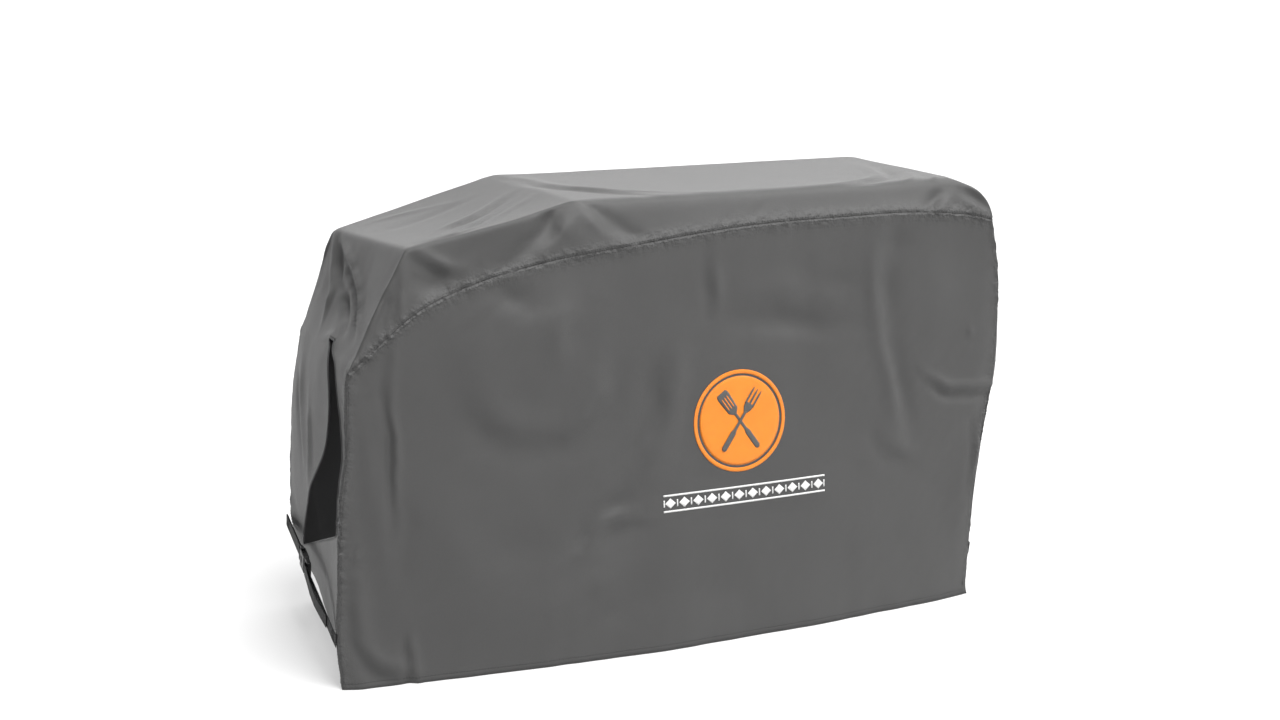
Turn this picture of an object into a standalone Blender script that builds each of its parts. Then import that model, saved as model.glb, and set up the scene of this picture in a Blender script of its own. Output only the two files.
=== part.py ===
"""Fitted cloth cover for a free-standing outdoor griddle with a hood and one side shelf.

The cover is a front panel and a back panel with an arched top edge, joined by one
long strip that runs up the left side, over the shelf and hood and down the right
side.  Each side has a gaping vent and, under it, a webbing strap with a
side-release buckle that pulls the lower corners together.

Units are metres, +Z is up, the front faces -Y.  The origin is the middle of the
footprint, at the level of the hem.
"""
import math

import bmesh
import bpy
import numpy as np
from mathutils import Matrix, Vector

# ---------------------------------------------------------------- dimensions
CLOTH = 0.0015          # thickness of the panel solids
GAP = 0.0003            # clearance between pieces that touch
HOOD_TOP = 0.950        # height of the flat top over the hood
HOOD_LEFT, HOOD_RIGHT = -0.246, 0.664
HOOD_FRONT, HOOD_REAR = -0.250, 0.280
SHELF_EDGE_X = -0.606   # outer edge of the side shelf under the cloth
SHELF_FRONT_Z, SHELF_REAR_Z = 0.878, 0.848
FRONT_SEAM_Y = 0.258    # distance of the front seam from the middle plane
BACK_SEAM_Y = 0.266
FRONT_BELLY = 0.076     # how far the front hem hangs out beyond the seam
BACK_BELLY = 0.068
WEB_W, WEB_T = 0.030, 0.0016      # strap webbing
BUCKLE_W, BUCKLE_T = 0.040, 0.012
SLIDE = 0.028           # travel that unplugs a buckle
SQUEEZE_RATIO = 9.0     # prong angle in radians for each metre of slide

# corner edges: height -> x
FL_EDGE = ((0.0, -0.769), (0.10, -0.7745), (0.20, -0.770), (0.32, -0.765), (0.40, -0.757), (0.48, -0.744), (0.56, -0.742), (0.64, -0.735))
RL_EDGE = ((0.0, -0.645), (0.10, -0.690), (0.19, -0.727), (0.335, -0.720), (0.45, -0.716), (0.595, -0.700), (0.62, -0.690))
FR_EDGE = ((0.0, 0.700), (0.16, 0.712), (0.26, 0.719), (0.342, 0.727), (0.412, 0.742), (0.455, 0.757), (0.565, 0.7735), (0.80, 0.769), (0.856, 0.748))
RR_EDGE = ((0.0, 0.610), (0.10, 0.672), (0.19, 0.716), (0.335, 0.724), (0.45, 0.740), (0.60, 0.756), (0.80, 0.750), (0.85, 0.734))
# arched seam of the front and of the back: x -> height
FRONT_ARCH = ((-0.735, 0.64), (-0.655, 0.706), (-0.588, 0.754), (-0.525, 0.783), (-0.465, 0.803), (-0.38, 0.823), (-0.115, 0.857), (0.155, 0.882), (0.37, 0.886), (0.57, 0.884), (0.70, 0.868), (0.748, 0.856))
BACK_ARCH = ((-0.690, 0.62), (-0.60, 0.710), (-0.53, 0.762), (-0.465, 0.790), (-0.38, 0.818), (-0.115, 0.857), (0.155, 0.878), (0.37, 0.880), (0.57, 0.876), (0.70, 0.860), (0.734, 0.85))


def table(points, value):
    xs = [p[0] for p in points]
    ys = [p[1] for p in points]
    return float(np.interp(value, xs, ys))


def hang(x, z):
    """0 at the corners and at the seam, 1 at the middle of the hem."""
    across = max(0.0, math.cos(math.pi * x / 1.60)) ** 0.8
    return across * max(0.0, 1.0 - z / 0.90)


def front_y(x, z):
    return -(FRONT_SEAM_Y + FRONT_BELLY * hang(x, z))


def back_y(x, z):
    return BACK_SEAM_Y + BACK_BELLY * hang(x, z)


def front_point(x, z):
    return np.array((x, front_y(x, z), z))


def back_point(x, z):
    return np.array((x, back_y(x, z), z))


def front_normal(x, z):
    e = 0.004
    dx = (front_point(x + e, z) - front_point(x - e, z)) / (2 * e)
    dz = (front_point(x, z + e) - front_point(x, z - e)) / (2 * e)
    n = np.cross(dx, dz)
    return n / np.linalg.norm(n)


# ---------------------------------------------------------------- scene
for old in list(bpy.data.objects):
    bpy.data.objects.remove(old)
cover = bpy.data.collections.new("grill_cover")
bpy.context.scene.collection.children.link(cover)
cutters = bpy.data.collections.new("cutters")
bpy.context.scene.collection.children.link(cutters)


def material(name, colour, rough, metal=0.0, sheen=0.0):
    m = bpy.data.materials.new(name)
    m.use_nodes = True
    b = m.node_tree.nodes["Principled BSDF"]
    b.inputs["Base Color"].default_value = (*colour, 1.0)
    b.inputs["Roughness"].default_value = rough
    b.inputs["Metallic"].default_value = metal
    b.inputs["Sheen Weight"].default_value = sheen
    return m


def cloth_material(name, value):
    return material(name, (value, value * 0.985, value * 0.97), 0.78, sheen=0.25)


def add(name, verts, faces, mat, smooth=False):
    mesh = bpy.data.meshes.new(name)
    mesh.from_pydata([tuple(float(c) for c in v) for v in verts], [], faces)
    mesh.update()
    bm = bmesh.new()
    bm.from_mesh(mesh)
    bmesh.ops.recalc_face_normals(bm, faces=bm.faces)
    bm.to_mesh(mesh)
    bm.free()
    if smooth:
        mesh.shade_smooth()
        mesh.set_sharp_from_angle(angle=math.radians(40))
    ob = bpy.data.objects.new(name, mesh)
    cover.objects.link(ob)
    mesh.materials.append(mat)
    return ob


# ---------------------------------------------------------------- the cloth shell
def spread(a, b, n):
    return [a + (b - a) * i / n for i in range(n + 1)]


N_ACROSS = 8                       # cells from the front to the rear of the strip
LEFT_Z_FRONT = (0.0, 0.10, 0.20, 0.32, 0.40, 0.48, 0.56, 0.64)
LEFT_Z_REAR = (0.0, 0.045, 0.085, 0.135, 0.27, 0.395, 0.51, 0.62)
RIGHT_Z_FRONT = (0.856, 0.74, 0.64, 0.53, 0.42, 0.32, 0.16, 0.0)
RIGHT_Z_REAR = (0.85, 0.73, 0.62, 0.50, 0.35, 0.17, 0.08, 0.0)
# front and rear edge of the vent in each row of a side, from the hem upwards
VENT_FRONT = (-0.19, -0.20, -0.225, -0.244, -0.246, -0.243, -0.228, -0.168)
VENT_REAR = (0.08, 0.12, 0.17, 0.215, 0.030, -0.118, -0.150, -0.098)
TUCK = ((0.0, 0.018), (0.08, 0.014), (0.16, 0.006), (0.24, 0.0), (0.45, -0.014), (0.62, -0.008), (0.85, 0.0))
TUCK_RIGHT = ((0.0, 0.110), (0.08, 0.085), (0.16, 0.038), (0.24, 0.0), (0.45, -0.014), (0.62, -0.008), (0.85, 0.0))


def columns(y0, y1, vent_front, vent_rear):
    """The nine places across a side row; columns 1 and 4 bound the vent."""
    ys = [y0, vent_front]
    ys += [vent_front + (vent_rear - vent_front) * k / 3 for k in (1, 2, 3)]
    ys += [vent_rear + (y1 - vent_rear) * k / 4 for k in (1, 2, 3, 4)]
    return ys


def side_row(front, rear, vent_front, vent_rear, outward):
    """One row across a side, from its front corner point to its rear corner point."""
    row = []
    for k, y in enumerate(columns(front[1], rear[1], vent_front, vent_rear)):
        s = (y - front[1]) / (rear[1] - front[1])
        p = front + (rear - front) * s
        p[0] -= outward * table(TUCK if outward < 0 else TUCK_RIGHT, p[2]) * math.sin(math.pi * s) ** 0.8 if 0 < k < N_ACROSS else 0.0
        row.append(p)
    return row


def plain_row(front, rear, crown=0.0):
    row = []
    for k in range(N_ACROSS + 1):
        s = k / N_ACROSS
        p = front + (rear - front) * s
        p[2] += crown * math.sin(math.pi * s)
        row.append(p)
    return row


A = np.array((SHELF_EDGE_X, -0.246, SHELF_FRONT_Z))
B = np.array((SHELF_EDGE_X - 0.002, 0.258, SHELF_REAR_Z))
C = np.array((HOOD_LEFT, HOOD_FRONT - 0.004, HOOD_TOP))
D = np.array((HOOD_LEFT + 0.012, HOOD_REAR, HOOD_TOP))
E = np.array((HOOD_RIGHT, HOOD_FRONT + 0.006, HOOD_TOP))
F = np.array((HOOD_RIGHT + 0.004, HOOD_REAR - 0.012, HOOD_TOP))
E_MID = np.array((0.722, -0.252, 0.914))
F_MID = np.array((0.716, 0.270, 0.910))

rows = []                          # the strip, from the left hem over the top to the right hem
for i in range(8):
    zf, zr = LEFT_Z_FRONT[i], LEFT_Z_REAR[i]
    rows.append(side_row(front_point(table(FL_EDGE, zf), zf), back_point(table(RL_EDGE, zr), zr), VENT_FRONT[i], VENT_REAR[i], -1.0))
TL, TLR = rows[7][0].copy(), rows[7][8].copy()
rows.append(side_row(TL + (A - TL) * 0.17, TLR + (B - TLR) * 0.17, -0.086, -0.050, -1.0))
rows.append(plain_row(TL + (A - TL) * 0.58, TLR + (B - TLR) * 0.58))
rows.append(plain_row(A, B))
for t in (0.2, 0.4, 0.6, 0.8):
    rows.append(plain_row(A + (C - A) * t, B + (D - B) * t))
N_CE = 8
for k in range(N_CE + 1):
    rows.append(plain_row(C + (E - C) * k / N_CE, D + (F - D) * k / N_CE))
rows.append(plain_row(E_MID, F_MID))
zf, zr = RIGHT_Z_FRONT[0], RIGHT_Z_REAR[0]
TR, TRR = front_point(table(FR_EDGE, zf), zf), back_point(table(RR_EDGE, zr), zr)
rows_right_start = len(rows)
rows.append(plain_row(TR, TRR))
for i in range(1, 8):
    zf, zr = RIGHT_Z_FRONT[i], RIGHT_Z_REAR[i]
    vf = (-0.168, -0.196, -0.226, -0.245, -0.244, -0.20, -0.19)[i - 1]
    vr = (-0.144, -0.155, -0.150, -0.050, 0.155, 0.10, 0.05)[i - 1]
    rows.append(side_row(front_point(table(FR_EDGE, zf), zf), back_point(table(RR_EDGE, zr), zr), vf, vr, 1.0))

ROW_TL, ROW_A = 7, 10
ROW_C = ROW_A + 5                  # five cells climb from the shelf edge to the hood
ROW_E = ROW_C + N_CE
ROW_TR = ROW_E + 2
assert rows_right_start == ROW_TR and len(rows) == ROW_TR + 8


def arch_points(kind):
    """Seam points that pair with the strip's rows between its two upper corners."""
    pts = []
    arch = FRONT_ARCH if kind == "front" else BACK_ARCH
    place = front_point if kind == "front" else back_point
    col = 0 if kind == "front" else N_ACROSS
    for k in range(ROW_TL, ROW_TR + 1):
        if k in (ROW_TL, ROW_TR):
            pts.append(rows[k][col].copy())
            continue
        x = rows[k][col][0]
        if k < ROW_A:
            lo = rows[ROW_TL][col][0]
            x = lo + (SHELF_EDGE_X - 0.014 - lo) * (k - ROW_TL) / (ROW_A - ROW_TL)
        elif k == ROW_A:
            x = SHELF_EDGE_X - 0.014
        pts.append(place(x, table(arch, x)))
    return pts


front_seam, back_seam = arch_points("front"), arch_points("back")

verts, index, faces = [], {}, []   # faces carry the name of their panel


def vid(p):
    key = tuple(int(round(float(c) * 1e6)) for c in p)
    if key not in index:
        index[key] = len(verts)
        verts.append(np.array(p, float))
    return index[key]


def cell(panel, a, b, c, d, out):
    ids = []
    for q in (vid(a), vid(b), vid(c), vid(d)):
        if q not in ids:
            ids.append(q)
    if len(ids) < 3:
        return
    p = [verts[q] for q in ids]
    n = np.cross(p[1] - p[0], p[2] - p[0]) + (np.cross(p[2] - p[0], p[3] - p[0]) if len(ids) == 4 else 0)
    if float(np.dot(n, out)) < 0:
        ids.reverse()
    faces.append((panel, ids))


def strip_panel(k):
    return "left_side_panel" if k < ROW_A else ("top_panel" if k < ROW_E else "right_side_panel")


CENTRE = np.array((0.0, 0.0, 0.45))
VENT_ROWS = set(range(3, 8)) | set(range(ROW_TR + 1, ROW_TR + 5))
for k in range(len(rows) - 1):
    for j in range(N_ACROSS):
        if k in VENT_ROWS and 1 <= j <= 3:
            continue
        q = (rows[k][j], rows[k + 1][j], rows[k + 1][j + 1], rows[k][j + 1])
        cell(strip_panel(k), *q, sum(q) / 4 - CENTRE)

for seam, col, out in ((front_seam, 0, np.array((0, -1.0, 0.4))), (back_seam, N_ACROSS, np.array((0, 1.0, 0.4)))):
    for k in range(ROW_TL, ROW_TR):
        a0, a1 = seam[k - ROW_TL], seam[k + 1 - ROW_TL]
        r0, r1 = rows[k][col], rows[k + 1][col]
        m0, m1 = (a0 + r0) / 2, (a1 + r1) / 2
        cell(strip_panel(k), a0, a1, m1, m0, out)
        cell(strip_panel(k), m0, m1, r1, r0, out)


def big_panel(name, seam, col, place, out):
    """A patch between the two corner edges, the arched seam and the hem."""
    n = len(seam) - 1
    left = [rows[i][col] for i in range(8)]
    right = [rows[len(rows) - 1 - i][col] for i in range(8)]
    grid = []
    for i in range(8):
        t = left[i][2] / left[7][2]
        line = []
        for k in range(n + 1):
            s = (seam[k][0] - seam[0][0]) / (seam[n][0] - seam[0][0])
            if k == 0:
                line.append(left[i])
            elif k == n:
                line.append(right[i])
            elif i == 7:
                line.append(seam[k])
            else:
                tr = right[i][2] / right[7][2]
                tt = t * (1 - s) + tr * s
                bottom = left[0][0] * (1 - s) + right[0][0] * s
                side = (left[i][0] - (left[0][0] * (1 - tt) + left[7][0] * tt)) * (1 - s)
                side += (right[i][0] - (right[0][0] * (1 - tt) + right[7][0] * tt)) * s
                x = bottom * (1 - tt) + seam[k][0] * tt + side
                line.append(place(x, seam[k][2] * tt))
        grid.append(line)
    for i in range(7):
        for k in range(n):
            cell(name, grid[i][k], grid[i][k + 1], grid[i + 1][k + 1], grid[i + 1][k], out)


big_panel("front_panel", front_seam, 0, front_point, np.array((0, -1.0, 0)))
big_panel("back_panel", back_seam, N_ACROSS, back_point, np.array((0, 1.0, 0)))

verts = np.array(verts)
normals = np.zeros_like(verts)
for _, ids in faces:
    p = verts[ids]
    n = np.cross(p[1] - p[0], p[2] - p[0])
    if len(ids) == 4:
        n = n + np.cross(p[2] - p[0], p[3] - p[0])
    n = n / np.linalg.norm(n)
    for q in ids:
        normals[q] += n
normals[verts[:, 2] < 1e-6, 2] = 0.0            # the hem's lower edge stays level
normals /= np.linalg.norm(normals, axis=1)[:, None]


def thicken(panel, mat):
    """A closed solid from one panel's faces, drawn back from the seams by the clearance."""
    mine = [ids for name, ids in faces if name == panel]
    used = sorted({q for ids in mine for q in ids})
    local = {q: i for i, q in enumerate(used)}
    count, pull = {}, {q: np.zeros(3) for q in used}
    for ids in mine:
        mid = verts[ids].mean(0)
        for i, q in enumerate(ids):
            e = (q, ids[(i + 1) % len(ids)])
            count[e] = count.get(e, 0) + 1
            pull[q] += mid - verts[q]
    rim = [e for e in count if (e[1], e[0]) not in count]
    rim_verts = {q for e in rim for q in e}
    outer = {}
    for q in used:
        p = verts[q].copy()
        if q in rim_verts:
            d = pull[q] - normals[q] * float(np.dot(pull[q], normals[q]))
            if p[2] < 1e-6:
                d[2] = 0.0
            length = np.linalg.norm(d)
            if length > 1e-9:
                p = p + d / length * GAP
        outer[q] = p
    vs = [outer[q] for q in used] + [outer[q] - normals[q] * CLOTH for q in used]
    n = len(used)
    fs = []
    for ids in mine:
        a = [local[q] for q in ids]
        halves = [a]
        if len(a) == 4:                 # both faces of the cloth share the shorter diagonal
            if np.linalg.norm(verts[ids[0]] - verts[ids[2]]) <= np.linalg.norm(verts[ids[1]] - verts[ids[3]]):
                halves = [[a[0], a[1], a[2]], [a[0], a[2], a[3]]]
            else:
                halves = [[a[0], a[1], a[3]], [a[1], a[2], a[3]]]
        for h in halves:
            fs.append(h)
            fs.append([i + n for i in reversed(h)])
    for a, b in rim:
        i, j = local[a], local[b]
        fs.append([j, i, i + n, j + n])
    return add(panel, vs, fs, mat, smooth=True)


grey = cloth_material("cloth_front", 0.105)
grey_top = cloth_material("cloth_top", 0.150)
grey_side = cloth_material("cloth_side", 0.120)
thicken("front_panel", grey)
thicken("back_panel", grey)
thicken("left_side_panel", grey_side)
thicken("top_panel", grey_top)
thicken("right_side_panel", grey_side)


# ---------------------------------------------------------------- seam bindings and vent piping
def unit(v):
    return v / np.linalg.norm(v)


def normal_at(p):
    return normals[int(np.argmin(((verts - p) ** 2).sum(1)))]


def fin(name, path, height, thick, start, mat):
    """A bound seam allowance that stands inwards along a seam."""
    vs, fs = [], []
    n = len(path)
    for i, p in enumerate(path):
        t = path[min(i + 1, n - 1)] - path[max(i - 1, 0)]
        t = t / np.linalg.norm(t)
        inn = -normal_at(p)
        inn = inn - t * float(np.dot(inn, t))
        inn /= np.linalg.norm(inn)
        side = np.cross(t, inn)
        for d, s in ((start, -1), (start, 1), (start + height, 1), (start + height, -1)):
            vs.append(p + inn * d + side * (s * thick / 2))
    for i in range(n - 1):
        for c in range(4):
            d = (c + 1) % 4
            fs.append([4 * i + c, 4 * i + d, 4 * (i + 1) + d, 4 * (i + 1) + c])
    fs.append([0, 1, 2, 3])
    e = 4 * (n - 1)
    fs.append([e + 3, e + 2, e + 1, e])
    return add(name, vs, fs, mat)


tape = material("binding_tape", (0.02, 0.02, 0.021), 0.7)
FIN = 0.010
front_line = [rows[i][0] for i in range(1, 7)] + front_seam + [rows[i][0] for i in range(ROW_TR + 1, ROW_TR + 7)]
back_line = [rows[i][N_ACROSS] for i in range(1, 7)] + back_seam + [rows[i][N_ACROSS] for i in range(ROW_TR + 1, ROW_TR + 7)]
fin("front_seam_binding", front_line, FIN, 0.0018, CLOTH + 0.0030, tape)
fin("back_seam_binding", back_line, FIN, 0.0018, CLOTH + 0.0030, tape)


def tube(name, path, radius, cyclic, mat, resolution=1):
    data = bpy.data.curves.new(name, "CURVE")
    data.dimensions = "3D"
    data.bevel_depth = radius
    data.bevel_resolution = resolution
    data.use_fill_caps = True
    spline = data.splines.new("POLY")
    spline.points.add(len(path) - 1)
    for pt, p in zip(spline.points, path):
        pt.co = (float(p[0]), float(p[1]), float(p[2]), 1.0)
    spline.use_cyclic_u = cyclic
    data.materials.append(mat)
    ob = bpy.data.objects.new(name, data)
    cover.objects.link(ob)
    return ob


def vent_loop(first, last):
    """The rim of a vent, drawn into the opening by more than the piping's radius."""
    ring = [(k, 1) for k in range(first, last + 1)] + [(last, 2), (last, 3)]
    ring += [(k, 4) for k in range(last, first - 1, -1)] + [(first, 3), (first, 2)]
    out = []
    for k, j in ring:
        p = rows[k][j]
        inward = np.zeros(3)
        if j == 1:
            inward += unit(rows[k][2] - p)
        if j == 4:
            inward += unit(rows[k][3] - p)
        if k == first:
            inward += unit(rows[k + 1][j] - p)
        if k == last:
            inward += unit(rows[k - 1][j] - p)
        n = normal_at(p)
        inward = unit(inward - n * float(np.dot(inward, n)))
        grow = 1.5 if k in (first, last) and j in (1, 4) else 1.0
        out.append(p + inward * PIPING * 2.2 * grow - n * CLOTH / 2)
    return out


PIPING = 0.0020
tube("left_vent_piping", vent_loop(3, 8), PIPING, True, tape)
tube("right_vent_piping", vent_loop(ROW_TR + 1, ROW_TR + 5), PIPING, True, tape)

# ---------------------------------------------------------------- embroidery on the front panel
THREAD = 0.0008
LIFT = 0.0008
BADGE_X, BADGE_Z, BADGE_R = 0.104, 0.472, 0.109
BAND_X0, BAND_X1, BAND_Z, BAND_H = -0.080, 0.308, 0.314, 0.038


def patch(name, outline_grid, lift, mat):
    """Thin solid that follows the front panel; the grid holds rows of (x, z)."""
    m, n = len(outline_grid), len(outline_grid[0])
    vs, fs = [], []
    for layer in (0, 1):
        for r in outline_grid:
            for x, z in r:
                vs.append(front_point(x, z) + front_normal(x, z) * (lift + THREAD * layer))
    o = m * n
    for i in range(m - 1):
        for j in range(n - 1):
            q = [i * n + j, i * n + j + 1, (i + 1) * n + j + 1, (i + 1) * n + j]
            fs.append(q)
            fs.append([a + o for a in reversed(q)])
    rim = [(0, j) for j in range(n)] + [(i, n - 1) for i in range(1, m)] + [(m - 1, j) for j in range(n - 2, -1, -1)] + [(i, 0) for i in range(m - 2, 0, -1)]
    for a, b in zip(rim, rim[1:] + rim[:1]):
        p, q = a[0] * n + a[1], b[0] * n + b[1]
        fs.append([p, q, q + o, p + o])
    return add(name, vs, fs, mat)


def ring(name, r0, r1, segments, lift, mat):
    vs, fs = [], []
    for layer in (0, 1):
        for r in (r0, r1):
            for i in range(segments):
                t = 2 * math.pi * i / segments
                x, z = BADGE_X + r * math.cos(t), BADGE_Z + r * math.sin(t)
                vs.append(front_point(x, z) + front_normal(x, z) * (lift + THREAD * layer))
    s = segments
    for i in range(s):
        j = (i + 1) % s
        fs.append([i, j, s + j, s + i])
        fs.append([2 * s + i, 3 * s + i, 3 * s + j, 2 * s + j])
        fs.append([i, 2 * s + i, 2 * s + j, j])
        fs.append([s + i, s + j, 3 * s + j, 3 * s + i])
    return add(name, vs, fs, mat)


def disc(name, radius, segments, lift, mat):
    vs, fs = [], []
    for layer in (0, 1):
        vs.append(front_point(BADGE_X, BADGE_Z) + front_normal(BADGE_X, BADGE_Z) * (lift + THREAD * layer))
        for r in (radius / 2, radius):
            for i in range(segments):
                t = 2 * math.pi * i / segments
                x, z = BADGE_X + r * math.cos(t), BADGE_Z + r * math.sin(t)
                vs.append(front_point(x, z) + front_normal(x, z) * (lift + THREAD * layer))
    s, o = segments, 2 * segments + 1
    for i in range(s):
        j = (i + 1) % s
        fs.append([0, 1 + i, 1 + j])
        fs.append([o, o + 1 + j, o + 1 + i])
        fs.append([1 + i, 1 + s + i, 1 + s + j, 1 + j])
        fs.append([o + 1 + i, o + 1 + j, o + 1 + s + j, o + 1 + s + i])
        fs.append([1 + s + i, 1 + s + j, o + 1 + s + j, o + 1 + s + i])
    return add(name, vs, fs, mat)


orange = material("thread_orange", (0.62, 0.27, 0.035), 0.55)
white = material("thread_white", (0.80, 0.80, 0.80), 0.6)
slate = material("thread_grey", (0.10, 0.098, 0.096), 0.6)
disc("badge_disc", BADGE_R - 0.0125, 28, LIFT, orange)
ring("badge_ring", BADGE_R - 0.0095, BADGE_R, 36, LIFT, orange)


def cross_grid(length, width, angle):
    ca, sa = math.cos(angle), math.sin(angle)
    grid = []
    for v in (-width / 2, width / 2):
        grid.append([(BADGE_X + u * ca - v * sa, BADGE_Z + u * sa + v * ca) for u in spread(-length / 2, length / 2, 6)])
    return grid


patch("badge_tool_left", cross_grid(0.150, 0.018, math.radians(125)), LIFT + THREAD + 0.0004, slate)
patch("badge_tool_right", cross_grid(0.150, 0.018, math.radians(55)), LIFT + 2 * THREAD + 0.0008, slate)
patch("trim_band", [[(x, BAND_Z + h) for x in spread(BAND_X0, BAND_X1, 12)] for h in (-BAND_H / 2, BAND_H / 2)], LIFT, white)

# ---------------------------------------------------------------- straps and buckles
black = material("buckle_black", (0.012, 0.012, 0.013), 0.42)
webbing = material("webbing_black", (0.018, 0.018, 0.019), 0.75)


def box_mesh(name, a, w, n, frame, collection=cover, mat=None, bevel=0.0):
    """A box given by its ranges along the strap, across it and outwards."""
    bm = bmesh.new()
    bmesh.ops.create_cube(bm, size=1.0)
    size = Vector((a[1] - a[0], w[1] - w[0], n[1] - n[0]))
    mid = Vector(((a[0] + a[1]) / 2, (w[0] + w[1]) / 2, (n[0] + n[1]) / 2))
    bmesh.ops.transform(bm, matrix=Matrix.Translation(mid) @ Matrix.Diagonal((*size, 1.0)), verts=bm.verts)
    if bevel:
        bmesh.ops.bevel(bm, geom=list(bm.edges), offset=bevel, segments=1, affect="EDGES", profile=0.5)
    mesh = bpy.data.meshes.new(name)
    bm.to_mesh(mesh)
    bm.free()
    ob = bpy.data.objects.new(name, mesh)
    ob.matrix_world = frame
    collection.objects.link(ob)
    if mat:
        mesh.materials.append(mat)
    if collection is cutters:
        ob.hide_render = True
        ob.display_type = "WIRE"
    return ob


def outline_mesh(name, outline, across, frame, mat, along="w"):
    """A closed outline drawn out along the width (w) or the thickness (n) of the strap."""
    bm = bmesh.new()
    lo, hi = across
    if along == "w":
        base = [bm.verts.new((p[0], lo, p[1])) for p in outline]
        top = [bm.verts.new((p[0], hi, p[1])) for p in outline]
    else:
        base = [bm.verts.new((p[0], p[1], lo)) for p in outline]
        top = [bm.verts.new((p[0], p[1], hi)) for p in outline]
    bm.faces.new(base)
    bm.faces.new(list(reversed(top)))
    n = len(outline)
    for i in range(n):
        j = (i + 1) % n
        bm.faces.new((base[j], base[i], top[i], top[j]))
    bmesh.ops.recalc_face_normals(bm, faces=bm.faces)
    mesh = bpy.data.meshes.new(name)
    bm.to_mesh(mesh)
    bm.free()
    mesh.materials.append(mat)
    ob = bpy.data.objects.new(name, mesh)
    ob.matrix_world = frame
    cover.objects.link(ob)
    return ob


def cut(ob, cutter, operation="DIFFERENCE"):
    m = ob.modifiers.new("cut_" + cutter.name, "BOOLEAN")
    m.operation = operation
    m.solver = "EXACT"
    m.object = cutter


HALF_W = BUCKLE_W / 2
BODY_L = 0.040            # length of the socket half's body
SOCKET = 0.0375           # depth of the socket
SOCKET_W = 0.0170         # half width of the socket
SOCKET_T = 0.0034         # half height of the socket
WINDOW = (-0.0370, -0.0200)
SHOULDER = -0.0270        # where a prong's catch stands at rest
PRONG_TIP = -0.0345
PRONG_HINGE_W = 0.0130
BUCKLE_AT = 0.206         # distance of the socket's mouth from the rear end of the strap


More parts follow.
